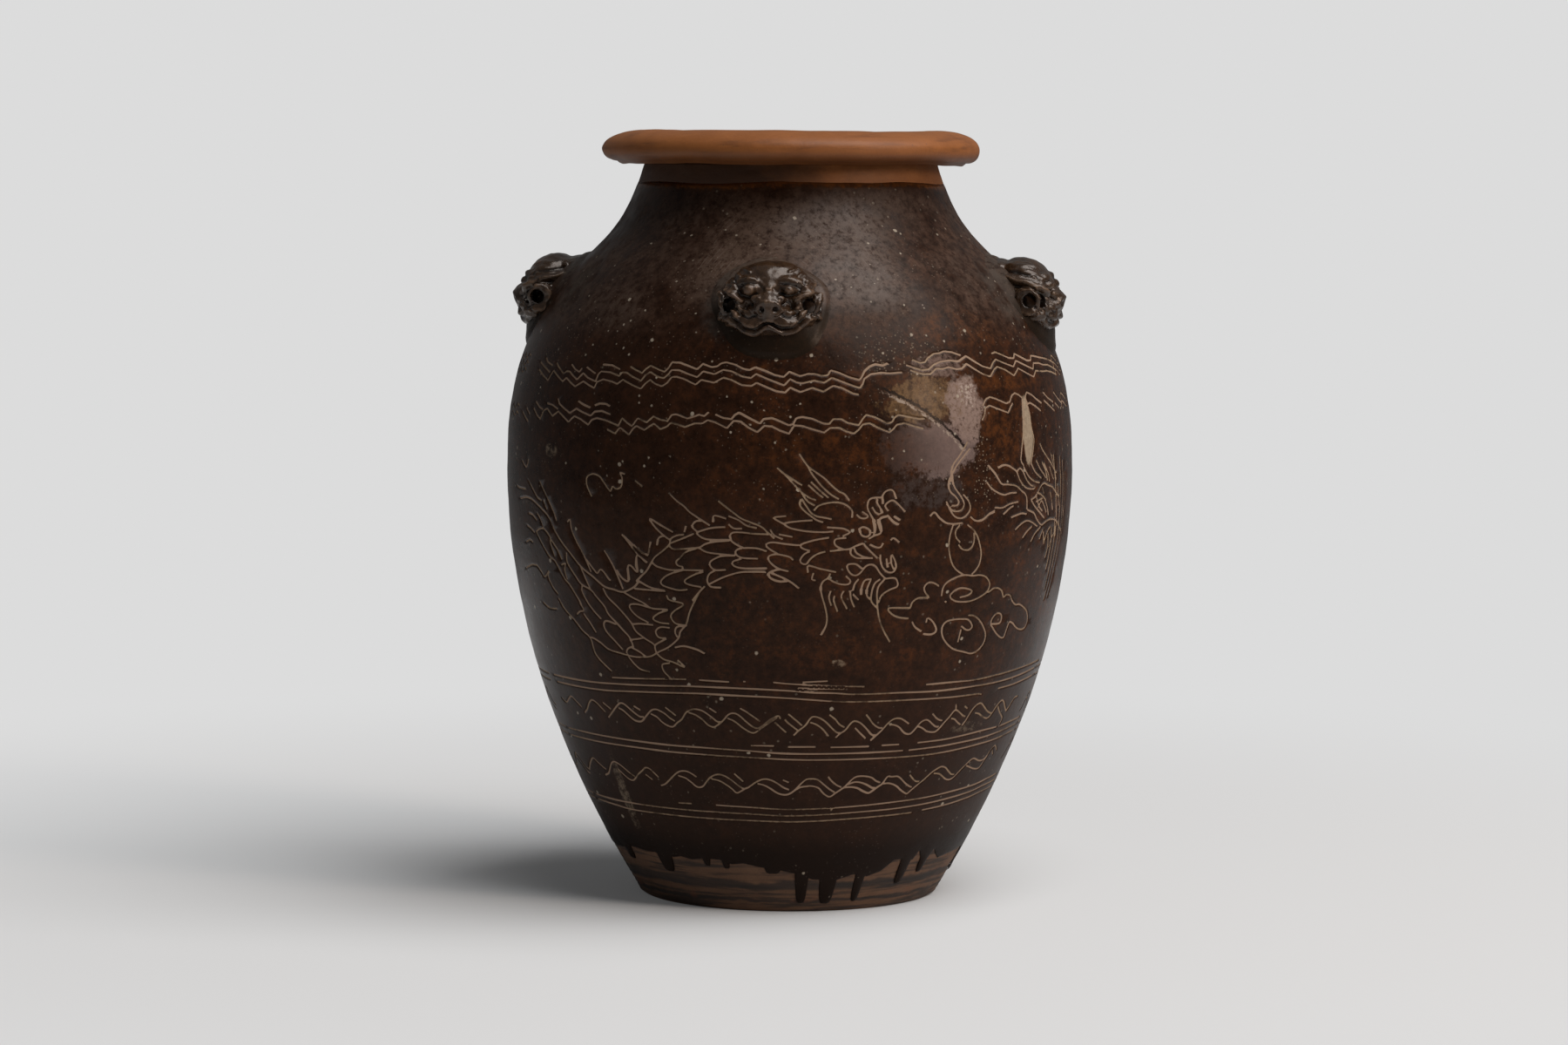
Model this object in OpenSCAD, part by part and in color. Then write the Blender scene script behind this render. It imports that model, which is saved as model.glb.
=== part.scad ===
// Glazed stoneware storage jar with four mask lugs, standing on z = 0 with its axis on Z.
// The potter's pieces are kept apart as they were made: a base slab, two thrown wall sections,
// a neck coil, a rolled rim, four pierced lugs on their clay mounds, and the coat of glaze.
// -Y is the front of the jar.

/* [Body] */
// Height over the rim
jar_h = 520; // [490:5:560]
// Radius where the jar stands, over the glaze line
foot_r = 102; // [92:1:112]
// Radius of the belly at its widest
belly_r = 193; // [180:1:206]
// Height of the widest part
belly_h = 292; // [275:1:305]
// Radius where the shoulder turns up into the neck
shoulder_r = 133; // [125:1:140]
// Distance from that turn up to the rim
neck_h = 57.5; // [52:0.5:64]
// Radius of the neck under the rim
neck_r = 100; // [94:1:106]
// Flare of the wall at the foot, outward travel for each mm up
foot_flare = 0.6; // [0.4:0.05:0.8]
// Draw of the shoulder at its turn, inward travel for each mm up
shoulder_draw = 1.08; // [0.9:0.02:1.16]
// Draw of the neck under the rim, inward travel for each mm up
neck_draw = 0.3; // [0.1:0.05:0.5]

/* [Walls] */
// Thickness of the wall from the belly up
wall_t = 9; // [7:0.5:12]
// Thickness of the wall at the foot
foot_wall_t = 13; // [10:0.5:17]
// Thickness of the base slab
slab_t = 14; // [10:0.5:20]
// Depth of the hollow under the base
hollow_d = 2.5; // [1:0.5:5]
// Width of the ring that the jar stands on
stand_w = 24; // [12:1:40]
// Bevel round the bottom edge
foot_bevel = 1.5; // [0.5:0.5:3]
// Height of the seam between the two thrown sections, below the widest part
seam_drop = 34; // [15:1:60]
// Height of the neck coil, up to the underside of the rim
neck_coil_h = 26; // [20:1:32]

/* [Rim] */
// Outer radius of the rolled rim
rim_r = 128.5; // [120:0.5:140]
// Thickness of the rolled rim
rim_t = 22.5; // [16:0.5:28]
// Height of the rim's widest line over its underside
rim_nose_h = 9; // [6:0.5:11]
// Rise of the rim's underside from neck to edge
rim_under_rise = 2.2; // [0:0.2:4]
// Depth of the round under the rim's edge
rim_under_round = 7.5; // [4:0.5:12]
// Width of the round over the rim's edge
rim_top_round = 25; // [16:1:27]
// Depth of the round from the crown down into the throat
lip_round = 10.5; // [6:0.5:12]

/* [Glaze] */
// Thickness of the glaze coat
glaze_t = 0.8; // [0.5:0.1:1.5]
// Bare clay between the rim and the glaze
bare_neck = 11; // [6:1:16]
// Height at which the glaze ends over the foot
bare_foot = 31; // [24:1:45]
// Width of a turned ring groove
groove_w = 2; // [1.4:0.2:3]
// Depth of a turned ring groove
groove_d = 0.4; // [0.2:0.1:0.45]
// Spacing of the grooves in a set
groove_pitch = 4.4; // [4:0.2:6]
// Height of the middle of the lowest set of grooves
ring_set_h = 70.5; // [64:0.5:78]
// Step from one set of grooves to the next
ring_set_step = 41.5; // [36:0.5:44]

/* [Lugs] */
// Distance of the rope holes below the shoulder's turn
lug_drop = 33; // [28:1:45]
// Radius of the rope hole
tunnel_r = 4; // [3:0.1:4.8]
// Clay between the rope hole and the wall
tunnel_web = 2; // [1.5:0.1:4]
// Clay round the rope hole at its mouths
tunnel_wall = 4.4; // [3.5:0.1:6]
// Length of the rope hole through a lug
tunnel_l = 60; // [56:1:70]
// Radius of the clay mound that a lug sits in
mound_r = 35; // [30:0.5:42]
// Height of the mound over the wall
mound_h = 10.5; // [7:0.5:14]

/* [Mask] */
// Radius of the forehead
brow_r = 15.5; // [14:0.5:16.5]
// Width of the forehead's straight part
brow_w = 27; // [23:1:31]
// Swell of the forehead's middle over its straight part
brow_swell = 3; // [2:0.5:5]
// Height of the forehead's middle over the rope hole
brow_h = 10; // [9:0.5:12]
// Distance of the forehead's middle behind the rope hole
brow_back = 8; // [6:0.5:10]
// Radius of the muzzle
muzzle_r = 12.5; // [11.5:0.5:13.5]
// Width of the muzzle's straight part
muzzle_w = 25; // [22:1:28]
// Depth of the muzzle's middle under the rope hole
muzzle_drop = 7; // [6:0.5:9]
// Distance of the muzzle's middle before the rope hole
muzzle_out = 3; // [2:0.5:4]
// Radius of the snout
snout_r = 8; // [6.5:0.5:9]
// Reach of the snout past the rope hole
snout_reach = 20; // [18.5:0.5:21]
// Radius of the ring round a nostril
nostril_r = 2.4; // [2:0.2:3]
// Spacing of the nostrils
nostril_gap = 7.4; // [6:0.2:9]
// Radius of an eyeball
eye_r = 4; // [3:0.2:5]
// Spacing of the eyes
eye_gap = 26; // [23:1:28]
// Height of the eyes over the rope hole
eye_h = 11; // [9:0.5:13]
// Reach of the eyes' middle past the rope hole
eye_reach = 7.5; // [6:0.5:9]
// Thickness of the scrolls of brow, lip and mane
scroll_t = 4; // [3.2:0.2:4.8]
// Radius of a lip scroll
lip_r = 15; // [13:0.5:17]
// Height of a lip scroll's middle over the rope hole
lip_h = 5; // [3:0.5:7]
// Step down from the lip scrolls to the chin scrolls
chin_step = 7.5; // [6:0.5:9]
// Radius of the inner curl of mane, about the rope hole
mane_r = 10; // [9.6:0.1:10.4]
// Spacing of the curls of mane
mane_pitch = 3.7; // [3:0.1:3.9]

/* [Hidden] */
$fn = 72;

// Lugs were set by eye, so they aren't quite square to each other: front, right, back, left.
lug_turn = [-94.5, -12, 84, 177];

// Runs of glaze over the bare foot: turn about the axis, width, height of the tip.
glaze_runs = [
    [-166, 30, 22], [-152.5, 8, 26], [-133, 9, 24], [-116, 11, 27], [-95, 12, 27.5],
    [-85.5, 6.5, 6], [-76.5, 8.5, 5.5], [-75.5, 34, 23], [-65.5, 5.5, 6], [-59, 20, 25],
    [-49, 6.5, 16], [-40.5, 5.5, 23], [-31, 7, 25], [-14, 34, 24],
    [8, 10, 15], [27, 38, 22], [49, 9, 9], [66, 31, 24], [85, 8, 12], [102, 35, 21],
    [124, 10, 17], [139, 8, 10], [158, 33, 24], [178, 11, 19]
];

rim_z = jar_h - rim_t;
seam_z = belly_h - seam_drop;
neck_z = rim_z - neck_coil_h;
glaze_top = rim_z - bare_neck;
shoulder_h = rim_z - neck_h;
lug_z = shoulder_h - lug_drop;
level_step = 7;
past = 1;  // how far a cutting shape runs past what it cuts

// The outside follows four stations: [height, radius, outward travel per mm up].
stations = [
    [0, foot_r, foot_flare],
    [belly_h, belly_r, 0],
    [shoulder_h, shoulder_r, -shoulder_draw],
    [rim_z, neck_r, -neck_draw]
];

function span(z) = z < belly_h ? 0 : z < shoulder_h ? 1 : 2;

// Cubic between two stations a and b, at height z: radius, then slope.
function curve_r(z, a, b) =
    let (h = b[0] - a[0], t = (z - a[0]) / h)
    (2*t*t*t - 3*t*t + 1) * a[1] + (t*t*t - 2*t*t + t) * h * a[2]
    + (3*t*t - 2*t*t*t) * b[1] + (t*t*t - t*t) * h * b[2];
function curve_slope(z, a, b) =
    let (h = b[0] - a[0], t = (z - a[0]) / h)
    (6*t*t - 6*t) * (a[1] - b[1]) / h + (3*t*t - 4*t + 1) * a[2] + (3*t*t - 2*t) * b[2];

function glazed_r(z) = curve_r(z, stations[span(z)], stations[span(z) + 1]);
function slope(z) = curve_slope(z, stations[span(z)], stations[span(z) + 1]);
// Level width of a layer that is t thick square to the wall.
function level_w(z, t) = t * sqrt(1 + pow(slope(z), 2));
function wall_at(z) = wall_t + (foot_wall_t - wall_t) * max(0, 1 - z / belly_h);
function clay_r(z) = glazed_r(z) - level_w(z, glaze_t);
function inner_r(z) = glazed_r(z) - level_w(z, glaze_t + wall_at(z));

// One ladder of heights, so that faces that touch share the same rings.
breaks = [0, slab_t, bare_foot, seam_z, belly_h, lug_z, shoulder_h, neck_z, glaze_top, rim_z];
function ladder(a, b) =
    let (n = max(1, ceil((b - a) / level_step)))
    [for (i = [0 : n - 1]) a + (b - a) * i / n];
levels = concat([for (i = [0 : len(breaks) - 2]) each ladder(breaks[i], breaks[i + 1])], [rim_z]);
function levels_in(z0, z1) = [for (z = levels) if (z >= z0 && z <= z1) z];
function reversed(v) = [for (i = [len(v) - 1 : -1 : 0]) v[i]];

// Quarter of an ellipse from angle a to angle b, with level half-width u and height v.
function arc_points(cx, cz, u, v, a, b, n = 9) =
    [for (i = [0 : n]) let (t = a + (b - a) * i / n) [cx + u * cos(t), cz + v * sin(t)]];

throat_r = inner_r(rim_z);
lug_x = glazed_r(lug_z) + level_w(lug_z, tunnel_r + tunnel_web);
barrel_r = tunnel_r + tunnel_wall;
mound_ball_r = (mound_r * mound_r + mound_h * mound_h) / (2 * mound_h);
scroll_r = scroll_t / 2;
lip_x = muzzle_out + muzzle_r - scroll_r / 2;
chin_back = scroll_t * 0.8;
end_swell = 1.02;
knob_r = scroll_r * 1.15;

// Where each scroll starts on its ring and how far it runs, in degrees.
brow_arc = [-35, 225];
lip_arc = [210, 116];
mane_arcs = [[-30, 240], [20, 140], [20, 110]];
// Turns of a brow and a lip out of the face, and of a nostril's ring, in degrees.
brow_turn = 25;
lip_turn = 18;
nostril_turn = [0, 110, 20];

echo(throat_r = throat_r, throat_l = rim_t - lip_round, lug_x = lug_x, lug_z = lug_z);

// A thrown section of the wall from height z0 up to height z1.
module wall_section(z0, z1) {
    rungs = levels_in(z0, z1);
    rotate_extrude()
        polygon(concat(
            [for (z = rungs) [clay_r(z), z]],
            [for (z = reversed(rungs)) [inner_r(z), z]]
        ));
}

// Everything inside the clay's outer face near the lugs: what a lug and its mound are cut to fit.
module shoulder_form() {
    rungs = levels_in(lug_z - 2 * mound_r, rim_z);
    rotate_extrude($fn = 216)
        polygon(concat(
            [for (z = rungs) [clay_r(z), z]],
            [[0, rungs[len(rungs) - 1]], [0, rungs[0]]]
        ));
}

module base_slab() {
    rungs = levels_in(0, slab_t);
    rest_r = clay_r(0) - foot_bevel;
    color([0.36, 0.26, 0.19])
        rotate_extrude()
            polygon(concat(
                [[0, hollow_d], [rest_r - stand_w - hollow_d, hollow_d], [rest_r - stand_w, 0], [rest_r, 0]],
                [for (z = rungs) [clay_r(max(z, foot_bevel)), max(z, foot_bevel)]],
                [[0, slab_t]]
            ));
}

module lower_wall() {
    color([0.40, 0.29, 0.21]) wall_section(slab_t, seam_z);
}

module shoulder_wall() {
    color([0.42, 0.29, 0.20]) wall_section(seam_z, neck_z);
}

module neck_coil() {
    color([0.48, 0.28, 0.15]) wall_section(neck_z, rim_z);
}

module rolled_rim() {
    crown_r = rim_r - rim_top_round;
    nose_z = rim_z + rim_nose_h;
    under_z = rim_z + rim_under_rise;
    color([0.60, 0.33, 0.16])
        rotate_extrude()
            polygon(concat(
                [[throat_r, rim_z], [clay_r(rim_z), rim_z]],
                arc_points(rim_r - rim_under_round, nose_z, rim_under_round, nose_z - under_z, -90, 0),
                arc_points(crown_r, nose_z, rim_top_round, jar_h - nose_z, 0, 90, 14),
                arc_points(crown_r, jar_h - lip_round, crown_r - throat_r, lip_round, 90, 180)
            ));
}

// Heights of the turned grooves, in three sets of three.
groove_heights = [
    for (set = [0 : 2], line = [-1 : 1])
        ring_set_h + set * ring_set_step + line * groove_pitch
];
// A groove is a small vee in the glaze's outer face.
function groove_rungs() =
    [for (g = groove_heights) each [[g - groove_w / 2, 0], [g, groove_d], [g + groove_w / 2, 0]]];
function in_groove(z) = len([for (g = groove_heights) if (abs(z - g) <= groove_w / 2 + 0.2) g]) > 0;

// The glaze from height z0 to its top, with its grooves; rungs run down the outer face.
module glaze_shell(z0, grooved) {
    rungs = levels_in(z0, glaze_top);
    plain = [for (z = rungs) if (!grooved || !in_groove(z)) [z, 0]];
    outer = grooved ? concat(plain, groove_rungs()) : plain;
    rotate_extrude()
        polygon(concat(
            [for (p = sorted(outer)) [glazed_r(p[0]) - level_w(p[0], p[1]), p[0]]],
            [for (z = reversed(rungs)) [clay_r(z), z]]
        ));
}

// Quick sort of points by their first value.
function sorted(v) = len(v) < 2 ? v :
    let (
        pivot = v[floor(len(v) / 2)][0],
        low = [for (p = v) if (p[0] < pivot) p],
        same = [for (p = v) if (p[0] == pivot) p],
        high = [for (p = v) if (p[0] > pivot) p]
    )
    concat(sorted(low), same, sorted(high));

// One run of glaze: a tongue with a round tip, as seen from outside, cut square through the foot.
module glaze_run(turn, width, tip_z) {
    r = width / 2;
    rotate([0, 0, turn])
        rotate([90, 0, 90])
            linear_extrude(height = belly_r) {
                translate([0, tip_z + r]) circle(r = r);
                translate([-r, tip_z + r]) square([width, bare_foot + past]);
            }
}

// The glaze with its wavy lower edge and runs, open where the lugs stand.
module glaze_coat() {
    color([0.17, 0.10, 0.07])
        difference() {
            union() {
                glaze_shell(bare_foot, true);
                intersection() {
                    foot_glaze();
                    union() {
                        for (run = glaze_runs)
                            glaze_run(run[0], run[1], run[2]);
                    }
                }
            }
            for (turn = lug_turn)
                rotate([0, 0, turn]) mound_cap();
        }
}

// Glaze-thick ring over the bare foot, which the runs are cut from.
module foot_glaze() {
    rungs = levels_in(0, bare_foot);
    rotate_extrude()
        polygon(concat(
            [for (z = rungs) [glazed_r(z), z]],
            [for (z = reversed(rungs)) [clay_r(z), z]]
        ));
}

// Cap of a ball that stands out of the wall as a mound, at the +X side, with a root inside the wall.
module mound_cap() {
    root_r = mound_r + mound_h;
    translate([clay_r(lug_z), 0, lug_z])
        rotate([0, 90 + atan(slope(lug_z)), 0])
            intersection() {
                translate([0, 0, mound_h - mound_ball_r]) sphere(r = mound_ball_r, $fn = 216);
                translate([0, 0, -mound_h]) cylinder(r = root_r, h = 2 * mound_h + past);
            }
}

module mound_at(turn) {
    color([0.25, 0.21, 0.19])
        rotate([0, 0, turn])
            difference() {
                mound_cap();
                shoulder_form();
                translate([lug_x, 0, lug_z]) mask_core();
            }
}

// A lug is a solid head with a rod for its rope hole, and relief that stops at the mound.
module lug_at(turn) {
    color([0.20, 0.16, 0.14])
        rotate([0, 0, turn])
            difference() {
                union() {
                    translate([lug_x, 0, lug_z]) mask_core();
                    difference() {
                        translate([lug_x, 0, lug_z]) mask_relief();
                        mound_cap();
                    }
                }
                shoulder_form();
                translate([lug_x, 0, lug_z]) cross_rod(tunnel_r, tunnel_l + 2 * past);
            }
}

// Rod across the lug, along Y.
module cross_rod(r, l) {
    rotate([90, 0, 0]) cylinder(r = r, h = l, center = true);
}

// Cross rod with rounded ends that swell a little past it.
module pill(r, l) {
    cross_rod(r, l);
    for (side = [-1, 1])
        translate([0, side * l / 2, 0]) sphere(r = r * end_swell);
}

// A roll of clay bent to part of a ring about the X axis: from angle a through sweep,
// measured from +Y towards +Z. Knobs end it.
module scroll(ring_r, a, sweep, knobs = [0, 1]) {
    rotate([90, 0, 90])
        rotate([0, 0, a])
            rotate_extrude(angle = sweep)
                translate([ring_r, 0]) circle(r = scroll_r, $fn = 24);
    for (end = knobs)
        translate([0, ring_r * cos(a + end * sweep), ring_r * sin(a + end * sweep)])
            sphere(r = knob_r, $fn = 24);
}

// Forehead, muzzle and snout, with X out of the jar and the rope hole on Y.
module mask_core() {
    cross_rod(barrel_r, tunnel_l);
    translate([-brow_back, 0, brow_h]) {
        pill(brow_r, brow_w);
        sphere(r = brow_r + brow_swell);
    }
    translate([muzzle_out, 0, -muzzle_drop]) pill(muzzle_r, muzzle_w);
    translate([snout_reach - snout_r, 0, 0]) sphere(r = snout_r);
}

module mask_relief() {
    for (side = [0, 1])
        mirror([0, side, 0]) {
            nostril();
            eye();
            for (row = [0, 1]) lip_scroll(row);
            mane();
        }
    for (row = [0, 1])
        translate([lip_x - row * chin_back + scroll_t, 0, lip_h - row * chin_step - lip_r / 2])
            sphere(r = knob_r, $fn = 24);
}

module nostril() {
    translate([snout_reach - nostril_r, nostril_gap / 2, -nostril_r])
        rotate(nostril_turn)
            rotate_extrude()
                translate([nostril_r, 0]) circle(r = scroll_r / 2, $fn = 24);
}

// Eyeball under an arched brow that runs down outside it.
module eye() {
    translate([eye_reach, eye_gap / 2, eye_h])
        rotate([0, 0, brow_turn]) {
            sphere(r = eye_r);
            scroll(eye_r + scroll_r * 0.7, brow_arc[0], brow_arc[1]);
        }
}

// Shallow scrolls, one row under the other, that meet their mirror images under the snout.
module lip_scroll(row) {
    translate([lip_x - row * chin_back, lip_r - scroll_r, lip_h - row * chin_step])
        rotate([0, 0, lip_turn]) scroll(lip_r, lip_arc[0], lip_arc[1], [1]);
}

// Curls swept round the mouth of the rope hole, from the jar to the cheek.
module mane() {
    translate([0, tunnel_l / 2 - knob_r, 0])
        rotate([0, 0, 90]) {
            scroll(barrel_r - scroll_r / 2, mane_arcs[0][0], mane_arcs[0][1]);
            scroll(mane_r + scroll_r / 4, mane_arcs[1][0], mane_arcs[1][1]);
            translate([0, scroll_r, 0])
                scroll(mane_r + mane_pitch, mane_arcs[2][0], mane_arcs[2][1]);
        }
}

base_slab();
lower_wall();
shoulder_wall();
neck_coil();
rolled_rim();
glaze_coat();
lug_at(lug_turn[0]);  // front_lug
lug_at(lug_turn[1]);  // right_lug
lug_at(lug_turn[2]);  // back_lug
lug_at(lug_turn[3]);  // left_lug
mound_at(lug_turn[0]);  // front_lug_mound
mound_at(lug_turn[1]);  // right_lug_mound
mound_at(lug_turn[2]);  // back_lug_mound
mound_at(lug_turn[3]);  // left_lug_mound
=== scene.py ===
# %% [markdown]
# A glazed stoneware storage jar
#
# A potter threw this jar in two sections, joined them at the belly, added a neck coil and a rolled
# rim, pressed four lion masks on the shoulder and drew on the glaze with a point and a comb.
# The imported CAD model is the frame: every piece here is made in its millimetres, and the pieces
# that need a hand-made surface stand in for CAD nodes, which are hidden.

# %% Load the imported jar
import math
import random

import bmesh
import bpy
import numpy as np
from mathutils import Matrix, Vector, kdtree, noise
from mathutils.geometry import delaunay_2d_cdt


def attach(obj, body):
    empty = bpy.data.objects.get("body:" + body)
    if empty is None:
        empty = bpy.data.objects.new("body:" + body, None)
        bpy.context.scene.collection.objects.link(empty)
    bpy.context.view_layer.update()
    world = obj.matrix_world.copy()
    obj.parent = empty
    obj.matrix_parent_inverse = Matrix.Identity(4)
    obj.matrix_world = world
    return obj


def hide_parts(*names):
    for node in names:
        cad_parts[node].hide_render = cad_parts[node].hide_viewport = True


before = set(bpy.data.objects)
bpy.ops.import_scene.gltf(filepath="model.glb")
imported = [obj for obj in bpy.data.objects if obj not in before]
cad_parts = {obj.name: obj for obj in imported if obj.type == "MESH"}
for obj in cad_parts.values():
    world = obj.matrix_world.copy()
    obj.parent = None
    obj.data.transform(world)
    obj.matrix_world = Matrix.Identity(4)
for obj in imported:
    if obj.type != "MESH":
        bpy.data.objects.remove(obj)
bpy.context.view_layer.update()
MM = 0.001
print("nodes:", sorted(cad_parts))

# %% [markdown]
# The outline of the jar
#
# The outside is one smooth curve through four stations: foot, belly, shoulder and neck. Each gives
# a height, a radius and how fast the wall moves outward there. A cubic between two stations keeps
# the curve smooth, and its slope gives the direction that is square to the wall, which is needed
# to cut a groove or to lay glaze on it. Writing the curve once lets clay, glaze and drawing agree.

# %% Outline, normals and arc length
STATIONS = [(0, 102, 0.6), (292, 193, 0), (440, 133, -1.08), (497.5, 100, -0.3)]
GLAZE_T = 0.8
WALL_T, FOOT_WALL_T = 9, 13
BELLY_H = STATIONS[1][0]
RIM_Z = STATIONS[3][0]
JAR_H = 520


def outline(z):
    """Radius of the glazed outside at each height, and its slope."""
    z = np.asarray(z, float)
    radius, slope = np.zeros_like(z), np.zeros_like(z)
    for i, ((z0, r0, s0), (z1, r1, s1)) in enumerate(zip(STATIONS, STATIONS[1:])):
        here = (z >= z0) & (z <= z1) if i == 0 else (z > z0) & (z <= z1)
        if i == 0:
            here |= z < z0
        if i == len(STATIONS) - 2:
            here |= z > z1
        h = z1 - z0
        t = (z[here] - z0) / h
        radius[here] = ((2 * t**3 - 3 * t**2 + 1) * r0 + (t**3 - 2 * t**2 + t) * h * s0
                        + (3 * t**2 - 2 * t**3) * r1 + (t**3 - t**2) * h * s1)
        slope[here] = ((6 * t**2 - 6 * t) * (r0 - r1) / h + (3 * t**2 - 4 * t + 1) * s0
                       + (3 * t**2 - 2 * t) * s1)
    return radius, slope


def wall_under(z):
    """Clay thickness at a height: the foot was thrown thicker than the shoulder."""
    return WALL_T + (FOOT_WALL_T - WALL_T) * np.clip(1 - np.asarray(z, float) / BELLY_H, 0, 1)


def on_jar(turn, z, lift=0.0):
    """Points in mm, turn degrees round from the front (-Y) towards +X, lifted square to the wall."""
    radius, slope = outline(z)
    steep = np.sqrt(1 + slope**2)
    r = radius + lift / steep
    height = np.asarray(z, float) - lift * slope / steep
    a = np.radians(turn)
    return np.stack([r * np.sin(a), -r * np.cos(a), height + 0 * a], axis=-1)


LADDER = np.linspace(0, RIM_Z, 2000)
CLIMB = np.concatenate([[0], np.cumsum(np.hypot(np.diff(LADDER), np.diff(outline(LADDER)[0])))])


def climb(z):
    """Distance along the wall from the foot up to height z."""
    return np.interp(z, LADDER, CLIMB)


def height_at(distance):
    return np.interp(distance, CLIMB, LADDER)


print(f"wall from foot to rim, along the curve: {CLIMB[-1]:.1f} mm")

# %% [markdown]
# Mesh and noise helpers
#
# Every surface below is a list of points in millimetres and a list of faces. One function turns
# them into an object in metres. Smooth noise in three dimensions moves points a little, so that
# nothing looks as if a machine had made it, and it never breaks at a seam.

# %% Make an object from points in mm
def make_object(name, points, faces, smooth=True):
    mesh = bpy.data.meshes.new(name)
    mesh.from_pydata([tuple(p) for p in np.asarray(points, float) * MM], [], [tuple(f) for f in faces])
    mesh.update()
    mesh.shade_smooth() if smooth else mesh.shade_flat()
    made = bpy.data.objects.new(name, mesh)
    bpy.context.collection.objects.link(made)
    return made


def rough(points, size, seed=0.0):
    """Smooth noise from -1 to 1 at points in mm, with lumps of about size mm."""
    shift = Vector((seed * 17.3, seed * 5.1, seed * 9.7))
    return np.array([noise.noise(Vector(p) / size + shift) for p in points]) * 1.6


def lathe(name, ring_points, columns, poles=False, wobble=None):
    """Revolves (radius, height) into rings that close on themselves, or that end in two poles on the axis."""
    turns = np.arange(columns) * 2 * math.pi / columns
    r = np.array([p[0] for p in ring_points])[:, None]
    z = np.array([p[1] for p in ring_points])[:, None]
    pts = np.stack([r * np.sin(turns), -r * np.cos(turns), z + 0 * turns], axis=-1).reshape(-1, 3)
    if wobble is not None:
        pts = wobble(pts)
    rings, around = len(ring_points), [(k, (k + 1) % columns) for k in range(columns)]
    faces = []
    for i in range(rings - 1 if poles else rings):
        low, high = i * columns, (i + 1) % rings * columns
        faces += [(low + k, low + m, high + m, high + k) for k, m in around]
    if poles:
        first, last, top = len(pts), len(pts) + 1, (rings - 1) * columns
        pts = np.vstack([pts, [(0, 0, ring_points[0][1]), (0, 0, ring_points[-1][1])]])
        faces += [(first, m, k) for k, m in around] + [(last, top + k, top + m) for k, m in around]
    return make_object(name, pts, faces)


# %% [markdown]
# Shader maths in plain Python
#
# A finish is arithmetic on noise: a mask here, a mix there. Wrapping a socket in a small class lets
# the arithmetic be written as Python, and each sign adds its Math node. Colours go through Mix and
# Vector Math nodes, because a Math node would turn them grey.

# %% Socket wrapper
class Sock:
    """A node socket that can be used in sums. Numbers may stand on either side."""

    def __init__(self, tree, socket):
        self.tree, self.socket = tree, socket

    def node(self, kind, settings=None, inputs=None, out=0):
        return add_node(self.tree, kind, settings, inputs, out)

    def math(self, operation, *values, clamp=False):
        return self.node("ShaderNodeMath", {"operation": operation, "use_clamp": clamp},
                         dict(enumerate(values)))

    def __add__(self, other):
        return self.math("ADD", self, other)

    def __sub__(self, other):
        return self.math("SUBTRACT", self, other)

    def __rsub__(self, other):
        return self.math("SUBTRACT", other, self)

    def __mul__(self, other):
        return self.math("MULTIPLY", self, other)

    def __truediv__(self, other):
        return self.math("DIVIDE", self, other)

    def __pow__(self, other):
        return self.math("POWER", self, other)

    __radd__, __rmul__ = __add__, __mul__

    def clamp(self):
        return self.math("ADD", self, 0.0, clamp=True)

    def least(self, other):
        return self.math("MINIMUM", self, other)

    def most(self, other):
        return self.math("MAXIMUM", self, other)

    def step(self, low, high):
        """0 below low, 1 above high, smooth between; low may be the larger."""
        flip = low > high
        a, b = (high, low) if flip else (low, high)
        ramp = self.node("ShaderNodeMapRange", {"interpolation_type": "SMOOTHSTEP"},
                         {"Value": self, "From Min": a, "From Max": b})
        return 1 - ramp if flip else ramp

    def band(self, low, high, soft):
        """1 between low and high, fading to 0 over soft on each side."""
        return self.step(low - soft, low) * self.step(high + soft, high)


def add_node(tree, kind, settings=None, inputs=None, out=0):
    """Any node: its settings first, then the values or links of its sockets."""
    made = tree.nodes.new(kind)
    for key, value in (settings or {}).items():
        if key == "stops":
            ramp = made.color_ramp
            while len(ramp.elements) < len(value):
                ramp.elements.new(0.5)
            for element, (place, colour) in zip(ramp.elements, value):
                element.position, element.color = place, (*colour, 1)
        else:
            setattr(made, key, value)
    for key, value in (inputs or {}).items():
        socket = made.inputs[key]
        if isinstance(value, Sock):
            tree.links.new(value.socket, socket)
        else:
            socket.default_value = (*value, 1) if socket.type == "RGBA" and len(value) == 3 else value
    return Sock(tree, made.outputs[out])


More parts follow.
